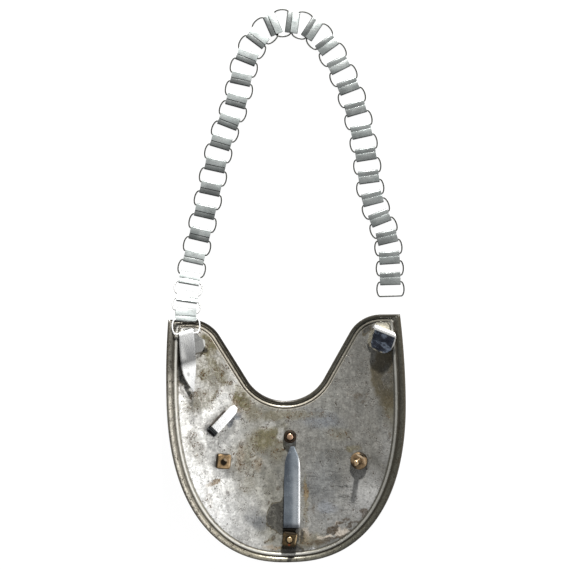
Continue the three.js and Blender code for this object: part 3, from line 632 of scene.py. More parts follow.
def dressClip(tree, colour):
    along, high = placeOnPiece(tree)[1:]
    colour = paint(tree, colour, baseMask(tree, high), (0.08, 0.06, 0.04), 0.9)
    # a painted dark reflection on the fold, with two painted glint lines across it
    colour = paint(tree, colour, spread(tree, along, -2.0, -1.5), (0.012, 0.012, 0.014))
    for start, end in ((-0.9, -0.6), (0.5, 0.8)):
        colour = paint(tree, colour, band(tree, along, start, end, 0.2), (0.16, 0.17, 0.17), 0.8)
    return colour


def dressCatch(tree, colour):
    place = millimetres(tree)
    across, along, high = placeOnPiece(tree)
    streak = useGroup(tree, scratches, Vector=place, Turn=0.35, Scale=0.35, Stretch=0.3, Low=0.52, High=0.62)
    colour = paint(tree, colour, streak, (0.22, 0.26, 0.33), 0.75)
    worn = useGroup(tree, clouds, Vector=place, Scale=0.5, Low=0.4, High=0.55)
    burnt = paint(tree, (0.10, 0.075, 0.045, 1), worn, (0.5, 0.46, 0.37))
    colour = blendColours(tree, baseMask(tree, high), colour, burnt)
    rim = larger(tree, spread(tree, across, -5.0, -5.8), spread(tree, along, -13.6, -14.6))
    colour = paint(tree, colour, times(tree, rim, worn), (0.42, 0.39, 0.31))
    # a painted highlight on the fold, and another along the leaf's right edge
    colour = paint(tree, colour, spread(tree, along, -1.2, -0.5), (0.95, 0.95, 0.93))
    right = times(tree, spread(tree, across, 10.6, 11.2), spread(tree, along, -13.0, -11.0))
    return paint(tree, colour, right, (0.85, 0.84, 0.80), 0.85)


def dressTongue(tree, colour):
    across, along = placeOnPiece(tree)[:2]
    # painted shade over the left of the blade's upper part
    left = spread(tree, across, -2.2, 2.6, 1.0, 0.0)
    upper = spread(tree, along, 34.0, 50.0, 0.25, 0.75)
    colour = paint(tree, colour, times(tree, left, upper), (0.06, 0.072, 0.095))
    # a painted sheen band and a painted highlight along the right bevel
    sheenBand = times(tree, band(tree, across, 2.2, 5.6, 1.6), spread(tree, along, 64.0, 34.0))
    colour = paint(tree, colour, sheenBand, (0.66, 0.70, 0.74), 0.75)
    colour = paint(tree, colour, spread(tree, across, 5.6, 6.4), (0.92, 0.93, 0.95))
    # painted shade at the foot of the blade, the step and the tab
    colour = paint(tree, colour, spread(tree, along, 13.5, 9.8, 0.0, 0.8), (0.05, 0.055, 0.065))
    colour = paint(tree, colour, spread(tree, along, 9.4, 7.8), (0.04, 0.034, 0.026))
    place = millimetres(tree)
    worn = useGroup(tree, scratches, Vector=place, Turn=1.45, Scale=0.9, Stretch=0.2, Low=0.58, High=0.66)
    return paint(tree, colour, worn, (0.6, 0.63, 0.67), 0.3)


# each link's two halves as lit and shaded copies, lighter and darker along the chain, and its dark seam with
# a painted highlight along it further on
linkLightAndShade = {  # share along the chain and grey, on the two sides of the seam and in it
    "ahead": [
        (0.0, 0.5), (0.09, 0.48), (0.12, 0.34), (0.3, 0.34), (0.4, 0.42), (0.46, 0.58), (0.53, 0.55),
        (0.58, 0.28), (0.68, 0.19), (1.0, 0.19),
    ],
    "behind": [
        (0.0, 0.48), (0.09, 0.42), (0.12, 0.12), (0.4, 0.12), (0.46, 0.13), (0.53, 0.15), (0.58, 0.15),
        (0.68, 0.2), (1.0, 0.19),
    ],
    "seam": [(0.0, 0.02), (0.3, 0.02), (0.52, 0.04), (0.6, 0.4), (1.0, 0.5)],
}


def dressLink(tree, colour):
    share = attribute(tree, "chainShare")
    along = placeOnPiece(tree)[1]
    tones = {
        kind: rampOf(tree, share, [(at, (grey * 0.95, grey, grey * 0.985)) for at, grey in stops])
        for kind, stops in linkLightAndShade.items()
    }
    tone = blendColours(tree, spread(tree, along, -1.0, -0.6), tones["behind"], tones["ahead"])
    tone = blendColours(tree, band(tree, along, -1.15, -0.5, 0.15), tone, tones["seam"])
    # painted shade over the link's folded ends
    ends = larger(tree, spread(tree, along, 4.2, 4.6), spread(tree, along, -4.2, -4.6))
    tone = scaled(tree, tone, maths(tree, "SUBTRACT", 1.0, times(tree, ends, 0.6)))
    uneven = useGroup(tree, clouds, Vector=millimetres(tree), Scale=0.09, Low=0.35, High=0.65)
    tone = scaled(tree, tone, ranged(tree, uneven, 0.8, 1.15))
    return vectorMaths(tree, "MULTIPLY", colour, tone)


def dressWire(tree, colour):
    share = attribute(tree, "chainShare")
    white = times(tree, spread(tree, share, 0.012, 0.034, 1.0, 0.3), spread(tree, share, 0.07, 0.1, 1.0, 0.0))
    return paint(tree, colour, white, (0.75, 0.75, 0.75))


# Plate: a grid for each face of the sheet, drawn along its border and closed round its edge

rimProfile = [  # inset as a share of the border, rise of the back and of the front as shares of theirs
    (0, -0.15, -0.15), (0.012, 0.12, 0.1), (0.04, 0.42, 0.36), (0.08, 0.66, 0.56), (0.13, 0.84, 0.72),
    (0.19, 0.94, 0.79), (0.25, 0.95, 0.78), (0.31, 0.86, 0.66), (0.36, 0.68, 0.46), (0.4, 0.42, 0.25),
    (0.43, 0.1, 0.08), (0.46, -0.12, 0), (0.52, -0.15, -0.04), (0.56, -0.06, -0.02), (0.59, 0.18, 0),
    (0.63, 0.42, 0), (0.68, 0.55, 0), (0.74, 0.56, 0), (0.79, 0.47, 0), (0.83, 0.28, 0), (0.86, 0.06, 0),
    (0.89, -0.1, 0), (0.93, -0.12, 0), (0.97, -0.03, 0), (1, 0, 0),
]
farInset = 20.0  # what a point of one border counts as its inset from the other
plateSharp = 50
screws = {
    "top": {
        "x": 0.026 * halfWidth, "y": -0.218 * sheet["drop"], "turn": 0, "corner": 2.0, "proud": 1.0,
        "head": 12.0, "headHeight": 1.9, "shaft": 4.6, "nut": 9.7, "nutHeight": 3.2,
    },
    "left": {
        "x": -0.558 * halfWidth, "y": -0.35 * sheet["drop"], "turn": -8 * degree, "corner": 6.5,
        "proud": -1.9, "head": 13.0, "headHeight": 2.0, "shaft": 3.9, "nut": 11.0, "nutHeight": 3.4,
    },
    "right": {
        "x": 0.618 * halfWidth, "y": -0.364 * sheet["drop"], "turn": 0, "corner": 2.0, "proud": 8.2,
        "head": 13.0, "headHeight": 2.0, "shaft": 3.9, "nut": 12.8, "nutHeight": 3.0,
    },
    "bottom": {
        "x": 0.0, "y": -102.3, "turn": -9 * degree, "corner": 6.5, "proud": 0.8,
        "head": 12.0, "headHeight": 2.0, "shaft": 4.1, "nut": 10.8, "nutHeight": 2.8,
    },
}


def outerPoints(count):
    points = []
    for step in range(count + 1):
        t = step / count
        if t < sheet["sideShare"]:
            down = t / sheet["sideShare"]
            y = sheet["hornHeight"] + (sheet["widestHeight"] - sheet["hornHeight"]) * down
            points.append(Vector((halfWidth - sheet["hornInset"] * (1 - down) ** 2, y)))
            continue
        angle = (t - sheet["sideShare"]) / (1 - sheet["sideShare"]) * math.pi / 2
        power = 2 / sheet["fullness"]
        x = halfWidth * max(0.0, math.cos(angle)) ** power
        y = sheet["widestHeight"] - (sheet["drop"] + sheet["widestHeight"]) * math.sin(angle) ** power
        points.append(Vector((x, y)))
    return points


def arcPoints(centreX, centreY, radius, start, end, count):
    angles = [start + (end - start) * step / count for step in range(count + 1)]
    return [Vector((centreX + radius * math.cos(a), centreY + radius * math.sin(a))) for a in angles]


def neckPoints(count):
    lean, neckRadius, radius = sheet["neckLean"], sheet["neckRadius"], sheet["shoulderRadius"]
    flankEndX = neckRadius * math.cos(lean)
    flankEndY = neckRadius * (1 - math.sin(lean))
    flankTopY = sheet["hornHeight"] - radius * (1 - math.sin(lean))
    shoulderX = flankEndX + (flankTopY - flankEndY) * math.tan(lean) + radius * math.cos(lean)
    corner = Vector((halfWidth - sheet["hornInset"], sheet["hornHeight"]))
    shoulder = arcPoints(shoulderX, sheet["hornHeight"] - radius, radius, math.pi / 2, math.pi - lean, count)
    return [corner] + shoulder + arcPoints(0, neckRadius, neckRadius, -lean, -math.pi / 2, count)


def measured(points):
    lengths = [0.0]
    for before, after in zip(points, points[1:]):
        lengths.append(lengths[-1] + (after - before).length)
    return {"points": points, "lengths": lengths}


def alongLine(line, distance):
    points, lengths = line["points"], line["lengths"]
    low, high = 0, len(points) - 2
    while low < high:
        middle = (low + high + 1) // 2
        if lengths[middle] <= distance:
            low = middle
        else:
            high = middle - 1
    step = points[low + 1] - points[low]
    share = (distance - lengths[low]) / step.length
    return points[low] + step * share, step.normalized()


outerLine = measured(outerPoints(1200))
neckLine = measured(neckPoints(400))


def mitrePoint(share):
    corner, side = alongLine(outerLine, 0.0)
    across = -(sheet["edgeBorder"] * share + side.x * sheet["neckBorder"] * share) / -side.y
    return Vector((corner.x + across, corner.y - sheet["neckBorder"] * share))


def borderPoint(onNeck, share, u):
    mitre = mitrePoint(share)
    if u == 0:
        return mitre
    line = neckLine if onNeck else outerLine
    corner = outerLine["points"][0]
    skipped = corner.x - mitre.x if onNeck else corner.y - mitre.y
    point, tangent = alongLine(line, skipped + (line["lengths"][-1] - skipped) * u)
    if u == 1:
        tangent = Vector((-1, 0))
    inset = share * (sheet["neckBorder"] if onNeck else sheet["edgeBorder"])
    inward = Vector((-tangent.y, tangent.x)) if onNeck else Vector((tangent.y, -tangent.x))
    return point + inward * inset


def plateRows(column):
    rows = [{"onNeck": False, "share": row[0], "rise": row[column]} for row in rimProfile]
    count = sheet["fieldRows"]
    field = [{"field": (step + 1) / (count + 1)} for step in range(count)]
    return rows + field + [{**row, "onNeck": True} for row in reversed(rows)]


def addPlateFace(bm, column, rise, face):
    rows = plateRows(column)
    edgeLayer = bm.verts.layers.float.get("edgeInset") or bm.verts.layers.float.new("edgeInset")
    neckLayer = bm.verts.layers.float.get("neckInset") or bm.verts.layers.float.new("neckInset")
    columns = 2 * sheet["stations"]
    half = sheet["thickness"] / 2
    for vertex, station, level in gridSteps(bm, columns, len(rows) - 1):
        row = rows[level]
        side = -1 if station <= sheet["stations"] else 1
        u = (station if side < 0 else columns - station) / sheet["stations"]
        if "field" in row:
            outer, inner = borderPoint(False, 1, u), borderPoint(True, 1, u)
            point, lift = outer.lerp(inner, row["field"]), 0.0
            width = (inner - outer).length
            vertex[edgeLayer] = sheet["edgeBorder"] + width * row["field"]
            vertex[neckLayer] = sheet["neckBorder"] + width * (1 - row["field"])
        else:
            point, lift = borderPoint(row["onNeck"], row["share"], u), row["rise"] * rise
            vertex[edgeLayer] = farInset if row["onNeck"] else sheet["edgeBorder"] * row["share"]
            vertex[neckLayer] = sheet["neckBorder"] * row["share"] if row["onNeck"] else farInset
        vertex.co = onSheet(side * point.x, point.y, face * (half + lift))


def makePlate():
    bm = bmesh.new()
    addPlateFace(bm, 1, sheet["borderRise"], 1)
    addPlateFace(bm, 2, sheet["frontRise"], -1)
    bmesh.ops.remove_doubles(bm, verts=bm.verts, dist=0.004)
    bmesh.ops.bridge_loops(bm, edges=[edge for edge in bm.edges if edge.is_boundary])
    turnOutward(bm)
    drillPlate(finishPiece("gorgetPlate", bm, [plateSteel], ["gorget_plate"], "plate_steel", plateSharp))


def drillPlate(piece):
    bm = bmesh.new()
    for screw in screws.values():
        radius = screw["shaft"] / 2 + sheet["clearance"]
        bmesh.ops.create_cone(
            bm, cap_ends=True, segments=36, radius1=radius, radius2=radius, depth=6 * sheet["thickness"],
            matrix=seatMatrix(screw["x"], screw["y"]),
        )
    toFrame(bm)
    drills = linkObject("drills", meshFrom(bm, "drills"))
    cut = piece.modifiers.new("holes", "BOOLEAN")
    cut.object = drills
    cut.operation = "DIFFERENCE"
    cut.solver = "EXACT"
    graph = bpy.context.evaluated_depsgraph_get()
    cutPlate = piece.evaluated_get(graph)
    mesh = bpy.data.meshes.new_from_object(cutPlate, preserve_all_data_layers=True, depsgraph=graph)
    piece.modifiers.clear()
    piece.data = mesh
    smoothShade(mesh, plateSharp)
    bpy.data.objects.remove(drills)


# Screws and nuts

headRound = [(1.3, 0), (0.6, 0.16), (0.15, 0.45), (0, 0.9)]  # inset from its radius, rise over its face
headChamfer = 0.15
screwThread = (0.75, 0.22)  # pitch and depth
screwEnd = [(1, 0.45), (0.82, 0.12), (0.5, 0), (0, 0)]  # share of the radius, depth under the end
nutTopRound = [(0, 0.9), (0.25, 0.4), (0.9, 0.06), (1.6, 0)]  # inset from the nut's side, depth under its top


def placePiece(bm, matrix):
    for axis, layerName in enumerate(pieceAxes):
        layer = bm.verts.layers.float.new(layerName)
        for vertex in bm.verts:
            vertex[layer] = vertex.co[axis]
    bmesh.ops.transform(bm, matrix=matrix, verts=bm.verts)


def nutSeat(name):
    screw = screws[name]
    if name == "bottom":
        return seatLift(tongue["tabWidth"] / 2) + tongue["sheet"] + sheet["clearance"]
    return seatLift(screw["nut"] / 2)


def makeScrew(name, slotName):
    screw = screws[name]
    shaft, head = screw["shaft"] / 2, screw["head"] / 2
    headTop = -sheet["thickness"] / 2 - sheet["clearance"]
    face = headTop - screw["headHeight"]
    nutTop = nutSeat(name) + screw["nutHeight"]
    end = nutTop + screw["proud"]
    rows = [(0, face)] + [(head - inset, face + up) for inset, up in headRound]
    rows += [(head, headTop - headChamfer), (head - headChamfer, headTop), (shaft, headTop)]
    pitch, depth = screwThread
    turn = nutTop + 0.2
    while turn + pitch < end - 0.5:
        rows += [(shaft, turn), (shaft - depth, turn + pitch / 2), (shaft, turn + pitch)]
        turn += pitch
    rows += [(share * shaft, end - down) for share, down in screwEnd]
    bm = bmesh.new()
    verts = [bm.verts.new((radius, 0, height)) for radius, height in rows]
    edges = [bm.edges.new(pair) for pair in zip(verts, verts[1:])]
    bmesh.ops.spin(
        bm, geom=verts + edges, cent=(0, 0, 0), axis=(0, 0, 1), angle=2 * math.pi, steps=40, use_merge=True,
    )
    bmesh.ops.remove_doubles(bm, verts=bm.verts, dist=0.001)
    turnOutward(bm)
    placePiece(bm, seatMatrix(screw["x"], screw["y"]))
    material = makeBrass(name + "ScrewBrass", screwTones[name], end)
    finishPiece(name + "Screw", bm, [material], [name + "_screw"], slotName, 30)


def addLoop(bm, half, corner, height):
    made = bmesh.ops.create_circle(bm, cap_ends=False, radius=1, segments=48)
    for vertex in made["verts"]:
        angle = math.atan2(vertex.co.y, vertex.co.x)
        across, up = abs(math.cos(angle)), abs(math.sin(angle))
        reach = half / (across ** corner + up ** corner) ** (1 / corner)
        vertex.co = (reach * math.cos(angle), reach * math.sin(angle), height)
    return edgesOf(made)


def makeNut(name, slotName):
    screw = screws[name]
    half, bore, tall = screw["nut"] / 2, screw["shaft"] / 2 + sheet["clearance"], screw["nutHeight"]
    corner = screw["corner"]
    rows = [(bore, 2, 0.0), (half - 0.3, corner, 0.0), (half, corner, 0.3)]
    rows += [(half - inset, corner, tall - down) for inset, down in nutTopRound]
    rows += [(bore + 0.45, 2, tall), (bore, 2, tall - 0.4)]
    bm = bmesh.new()
    loops = [addLoop(bm, *row) for row in rows]
    for before, after in zip(loops, loops[1:] + loops[:1]):
        bmesh.ops.bridge_loops(bm, edges=before + after)
    turnOutward(bm)
    place = Matrix.Translation((0, 0, nutSeat(name))) @ Matrix.Rotation(screw["turn"], 4, "Z")
    placePiece(bm, seatMatrix(screw["x"], screw["y"]) @ place)
    material = makeBrass(name + "NutBrass", nutTones[name], tall)
    finishPiece(name + "Nut", bm, [material], [name + "_nut"], slotName, 30)


# Folded fittings: a strip from the end of its base, round its fold, to the tip of its leaf

# Rows give the share along the leaf or base, then its left and right sides as shares of the width.
leafSheet = 1.0
leafArch = [(0.0, 0.0), (0.3, 0.8), (0.6, 1.0), (1.0, -0.6)]
hook = {
    "node": "chain_hook", "x": -71.8, "y": 53.4, "turn": 13 * degree, "width": 13.0, "length": 42.0,
    "gap": 3.6, "arch": 1.4, "base": 17.0, "baseShift": 3.4, "baseSpan": 19.0,
    "leafRows": [
        (0.0, -0.62, 0.25), (0.2, -0.78, 0.13), (0.4, -0.9, 0.0), (0.58, -0.97, -0.13), (0.72, -0.92, -0.25),
        (0.85, -0.76, -0.4), (1.0, -0.57, -0.52),
    ],
    "baseRows": [
        (0.0, -0.45, 0.33), (0.05, -0.45, 0.34), (0.5, -0.45, 0.88), (0.72, -0.45, 0.86), (1.0, -0.4, 0.5),
    ],
}
catchHook = {
    "node": "chain_catch", "x": 73.4, "y": 51.6, "turn": -21 * degree, "width": 16.6, "length": 15.0,
    "gap": 2.8, "arch": -0.5, "base": 15.0, "baseShift": -1.5, "baseSpan": 22.0,
    "leafRows": [
        (0.0, -0.37, 0.68), (0.4, -0.36, 0.72), (0.75, -0.31, 0.64), (0.93, -0.22, 0.5), (1.0, -0.08, 0.36),
    ],
    "baseRows": [(0.0, -0.52, 0.33), (0.3, -0.54, 0.34), (0.8, -0.56, 0.3), (1.0, -0.4, 0.2)],
}
clip = {
    "node": "side_clip", "x": -0.65 * halfWidth, "y": -0.158 * sheet["drop"], "turn": 134 * degree,
    "width": 6.8, "length": 24.5, "gap": 3.6, "arch": 0.5, "base": 18.0, "baseShift": 0.0, "baseSpan": 19.0,
    "leafRows": [(0.0, -0.5, 0.5), (0.84, -0.5, 0.5), (0.95, -0.38, 0.4), (1.0, -0.2, 0.22)],
    "baseRows": [(0.0, -0.56, 0.56), (0.93, -0.56, 0.56), (1.0, -0.4, 0.4)],
}


def readRows(rows, along, column):
    for before, after in zip(rows, rows[1:]):
        if along <= after[0]:
            share = (along - before[0]) / (after[0] - before[0])
            return before[column] + (after[column] - before[column]) * share
    return rows[-1][column]


def smoothRows(rows, along, column):
    reach = 0.05
    places = [along + reach * step / 2 for step in range(-2, 3)]
    return sum(readRows(rows, min(1.0, max(0.0, place)), column) for place in places) / len(places)


def foldStations(size):
    half = leafSheet / 2
    foldRadius = size["gap"] / 2 + half
    centre = half + foldRadius
    baseSteps, foldSteps, leafSteps = 14, 14, 40
    stations = []
    for step in range(baseSteps):
        along = 1 - step / baseSteps
        left, right = (readRows(size["baseRows"], along, column) for column in (1, 2))
        stations.append((-along * size["base"], half, left, right))
    for step in range(foldSteps + 1):
        angle = -math.pi / 2 + math.pi * step / foldSteps
        share = step / foldSteps
        baseEnd, leafEnd = size["baseRows"][0], size["leafRows"][0]
        left, right = (baseEnd[side] * (1 - share) + leafEnd[side] * share for side in (1, 2))
        stations.append((foldRadius * math.cos(angle), centre + foldRadius * math.sin(angle), left, right))
    for step in range(1, leafSteps + 1):
        along = step / leafSteps
        left, right = (smoothRows(size["leafRows"], along, column) for column in (1, 2))
        rise = smoothRows(leafArch, along, 1) * size["arch"]
        stations.append((-along * size["length"], centre + foldRadius + rise, left, right))
    return [(y, z, left * size["width"], right * size["width"]) for y, z, left, right in stations]


def thicken(bm, thickness, edgeWidth):
    turnOutward(bm)
    for face in bm.faces:
        face.normal_update()
    bm.normal_update()
    for vertex in bm.verts:
        vertex.co -= vertex.normal * thickness / 2
    bmesh.ops.solidify(bm, geom=bm.faces[:] + bm.edges[:] + bm.verts[:], thickness=-thickness)
    turnOutward(bm)
    sharp = [edge for edge in bm.edges if edge.is_manifold and edge.calc_face_angle(0) > math.radians(50)]
    bmesh.ops.bevel(
        bm, geom=sharp, offset=edgeWidth, offset_type="OFFSET", segments=2, profile=0.5, affect="EDGES",
        material=-1, clamp_overlap=True,
    )


def foldedPlace(size):
    turn = Matrix.Rotation(size["turn"], 4, "Z")
    middle = turn @ Vector((size["baseShift"], -size["base"] / 2, 0))
    lift = seatLift(size["baseSpan"] / 2)
    seat = seatMatrix(size["x"] + middle.x, size["y"] + middle.y)
    return seat @ Matrix.Translation((-middle.x, -middle.y, lift)) @ turn


def makeFolded(name, size, material, slotName):
    stations = foldStations(size)
    columns = 10
    bm = bmesh.new()
    for vertex, column, row in gridSteps(bm, columns, len(stations) - 1):
        y, z, left, right = stations[row]
        vertex.co = (left + (right - left) * column / columns, y, z)
    thicken(bm, leafSheet, 0.22)
    placePiece(bm, foldedPlace(size))
    finishPiece(name, bm, [material], [size["node"]], slotName, 40)


# Tongue: a tab under the bottom nut, a step up, and a long blade with bevelled edges

tongue = {
    "sheet": 1.2, "turn": -1.9 * degree, "width": 12.0, "shift": 1.5, "tipGap": 2.1, "rise": 3.6, "tab": 8.0,
    "step": 7.2, "tabWidth": 10.4, "stepEnd": 9.36,
    "bend": [(0.136, 1.0), (0.55, 1.3), (0.85, 1.2), (1.0, 0.9)],
    "outline": [
        (0.1, 0.5), (0.5, 0.49), (0.78, 0.48), (0.86, 0.43), (0.9, 0.36), (0.95, 0.23), (0.985, 0.11),
        (1.0, 0.05),
    ],
    "tabRows": [(-1.35, -0.5, 0.5), (-0.6, -0.5, 0.44), (1.0, -0.5, 0.32)],
    "profile": [0.0, 0.05, 0.11, 0.17, 0.3, 0.42, 0.5, 0.58, 0.7, 0.83, 0.89, 0.95, 1.0], "bevelShare": 0.17,
}


def tongueStations():
    reach = screws["top"]["y"] - screws["bottom"]["y"] - screws["top"]["nut"] / 2 - tongue["tipGap"]
    half = tongue["sheet"] / 2
    stations = []
    for step in range(12):
        y = -tongue["tab"] + (tongue["tab"] + tongue["step"]) * step / 12
        left, right = (readRows(tongue["tabRows"], -y / tongue["tab"], column) for column in (1, 2))
        stations.append((y, half, left * tongue["tabWidth"], right * tongue["tabWidth"], 0.0))
    for step in range(9):
        share = step / 8
        y = tongue["step"] + (tongue["stepEnd"] - tongue["step"]) * share
        z = half + tongue["rise"] * (3 * share ** 2 - 2 * share ** 3)
        wide = [(-0.5 * tongue["tabWidth"], -0.5 * tongue["width"] + tongue["shift"]),
                (0.5 * tongue["tabWidth"], 0.5 * tongue["width"] + tongue["shift"])]
        left, right = (start + (end - start) * share for start, end in wide)
        stations.append((y, z, left, right, 0.3 * share))
    bladeSteps = 46
    for step in range(1, bladeSteps + 1):
        y = tongue["stepEnd"] + (reach - tongue["stepEnd"]) * step / bladeSteps
        along = y / reach
        rise = readRows(tongue["bend"], along, 1) * tongue["rise"]
        wide = smoothRows(tongue["outline"], along, 1) * tongue["width"]
        stations.append((y, half + rise, tongue["shift"] - wide, tongue["shift"] + wide, 0.34))
    return stations


def makeTongue():
    stations = tongueStations()
    profile = tongue["profile"]
    bm = bmesh.new()
    for vertex, column, row in gridSteps(bm, len(profile) - 1, len(stations) - 1):
        y, z, left, right, bevelled = stations[row]
        share = profile[column]
        toEdge = min(1.0, min(share, 1 - share) / tongue["bevelShare"])
        vertex.co = (left + (right - left) * share, y, z - bevelled * (1 - toEdge) ** 1.2)
    thicken(bm, tongue["sheet"] - 0.25, 0.15)
    seat = seatMatrix(screws["bottom"]["x"], screws["bottom"]["y"])
    lift = Matrix.Translation((0, 0, seatLift(tongue["tabWidth"] / 2)))
    placePiece(bm, seat @ lift @ Matrix.Rotation(tongue["turn"], 4, "Z"))
    finishPiece("centreTongue", bm, [tongueSteel], ["centre_tongue"], "dark_steel", 25)


# Chain: wire rings in folded flat links, from the hook's fold to the free end

chain = {
    "wire": 1.1, "barSpacing": 10.8, "ringBulge": 3.1, "barOverhang": 0.15, "barDrop": 0.28,
    "linkWidth": 15.2, "linkLength": 9.8, "linkSheet": 0.45, "linkRoom": 0.2, "seamShift": -0.8,
    "seamHalf": 0.12, "freeEndSlack": 2.3, "hookRoll": 19 * degree, "barInHook": (-0.12, 0.04),
    "wireSides": 12, "ringSteps": 40, "foldSteps": 8,
}
chainRoute = [  # the middle of every second flat link, and its lift off the floor
    (-71.3, 67.3, 23.8), (-69.8, 92.6, 5.4), (-61.6, 126.1, 0.1), (-52.8, 160.1, 0), (-44.1, 195.1, 0),
    (-31.5, 225.3, 0), (-23.4, 258.3, 0), (-3.4, 282.3, 0), (26.2, 278.1, 0), (45.5, 250.5, 0),
    (57.3, 217.5, 0), (64.2, 182.9, 0), (67.9, 149.6, 0), (78.7, 120.6, 0), (80.1, 89.4, 0),
]


def makeRing():
    wire, reach = chain["wire"] / 2, chain["barSpacing"] / 2
    barEnd = chain["linkWidth"] / 2 + chain["barOverhang"]
    bulge = chain["linkWidth"] / 2 + chain["ringBulge"] - wire - barEnd
    bm = bmesh.new()
    turn = Matrix.Translation((reach, 0, 0)) @ Matrix.Rotation(math.pi / 2, 4, "X")
    made = bmesh.ops.create_circle(bm, cap_ends=False, radius=wire, segments=chain["wireSides"], matrix=turn)
    start = Matrix.Rotation(math.pi / chain["ringSteps"], 3, "Z")
    bmesh.ops.rotate(bm, cent=(0, 0, 0), matrix=start, verts=bm.verts)
    bmesh.ops.spin(
        bm, geom=made["verts"] + edgesOf(made), cent=(0, 0, 0), axis=(0, 0, 1), angle=2 * math.pi,
        steps=chain["ringSteps"], use_merge=True,
    )
    for vertex in bm.verts:
        angle = math.atan2(vertex.co.y, vertex.co.x)
        out = math.hypot(vertex.co.x, vertex.co.y) - reach
        normal = Vector((math.cos(angle) / bulge, math.sin(angle) / reach)).normalized()
        side = 1 if vertex.co.x > 0 else -1
        vertex.co.x = side * barEnd + bulge * math.cos(angle) + out * normal.x
        vertex.co.y = reach * math.sin(angle) + out * normal.y
    turnOutward(bm)
    return meshFrom(bm, "ring")


def makeFlatLink():
    middle = chain["wire"] / 2 + chain["linkRoom"] / 2 + chain["linkSheet"] / 2
    bend = chain["linkLength"] / 2 - middle - chain["linkSheet"] / 2
    seam, gap, steps = chain["seamShift"], chain["seamHalf"], chain["foldSteps"]
    points = [(seam - gap, middle)]
    for side, start in ((-1, math.pi / 2), (1, -math.pi / 2)):
        for step in range(steps + 1):
            angle = start + math.pi * step / steps
            points.append((side * bend + middle * math.cos(angle), middle * math.sin(angle)))
    points.append((seam + gap, middle))
    bm = bmesh.new()
    half = chain["linkWidth"] / 2
    verts = [bm.verts.new((-half, y, z)) for y, z in points]
    edges = [bm.edges.new(pair) for pair in zip(verts, verts[1:])]
    made = bmesh.ops.extrude_edge_only(bm, edges=edges)
    moved = [part for part in made["geom"] if isinstance(part, bmesh.types.BMVert)]
    bmesh.ops.translate(bm, vec=(2 * half, 0, 0), verts=moved)
    thicken(bm, chain["linkSheet"], 0.09)
    return meshFrom(bm, "flatLink")


def routePoint(share):
    points = [Vector(point) for point in chainRoute]
    at = share * (len(points) - 1)
    index = min(int(at), len(points) - 2)
    weight = at - index
    before = points[index - 1] if index > 0 else points[0] * 2 - points[1]
    after = points[index + 2] if index + 2 < len(points) else points[-1] * 2 - points[-2]
    start, end = points[index], points[index + 1]
    leave, arrive = (end - before) / 2, (after - start) / 2
    cubic = 2 * start - 2 * end + leave + arrive
    square = -3 * start + 3 * end - 2 * leave - arrive
    return start + leave * weight + square * weight ** 2 + cubic * weight ** 3


def chainBars():
    rest = chain["wire"] / 2 + chain["linkRoom"] / 2 + chain["linkSheet"] - chain["barDrop"]
    count = 2 * len(chainRoute) - 1
    centres = [routePoint(link / (count - 1)) for link in range(count)]
    for centre in centres:
        centre.z = rest + max(0.0, centre.z)
    across, along = chain["barInHook"]
    fold = Vector((across * hook["width"], along * hook["gap"], leafSheet + hook["gap"] / 2))
    seat = foldedPlace(hook) @ fold
    spacing = chain["barSpacing"]
    bars = [(seat, seat + (centres[0] - seat).normalized() * spacing)]
    for before, after in zip(centres, centres[1:]):
        run, middle = (after - before).normalized(), (before + after) / 2
        bars.append((middle - run * spacing / 2, middle + run * spacing / 2))
    run = (centres[-1] - centres[-2]).normalized()
    last = centres[-1] + run * chain["freeEndSlack"]
    bars.append((last, last + run * spacing))
    return bars, rest, centres[0].z


def onBars(start, end, roll, lift):
    along = (end - start).normalized()
    side = Matrix.Rotation(roll, 3, along) @ along.cross(Vector((0, 0, 1))).normalized()
    up = side.cross(along)
    centre = (start + end) / 2 + up * lift
    turn = Matrix((side, along, up)).transposed().to_4x4()
    return Matrix.Translation(centre) @ turn


def addCopy(bm, mesh, matrix, materialIndex, share):
    firstVertex, firstFace = len(bm.verts), len(bm.faces)
    bm.from_mesh(mesh)
    bm.verts.ensure_lookup_table()
    bm.faces.ensure_lookup_table()
    layers = bm.verts.layers.float
    for vertex in bm.verts[firstVertex:]:
        vertex[layers["chainShare"]] = share
        vertex[layers["alongPiece"]] = vertex.co.y
    bmesh.ops.transform(bm, matrix=matrix, verts=bm.verts[firstVertex:])
    for face in bm.faces[firstFace:]:
        face.material_index = materialIndex


def makeChain():
    bars, rest, top = chainBars()
    bm = bmesh.new()
    for name in ("chainShare", "alongPiece"):
        bm.verts.layers.float.new(name)
    betweenBars = [(before[1], after[0]) for before, after in zip(bars, bars[1:])]
    runs = [(makeRing(), bars, 0), (makeFlatLink(), betweenBars, chain["barDrop"])]
    for kind, (mesh, spans, drop) in enumerate(runs):
        for number, (start, end) in enumerate(spans):
            roll = chain["hookRoll"] * ((start.z + end.z) / 2 - rest) / (top - rest)
            addCopy(bm, mesh, onBars(start, end, roll, drop), kind, number / (len(spans) - 1))
    finishPiece("neckChain", bm, [wireSteel, linkSteel], ["neck_chain"], "chain_steel", 40)


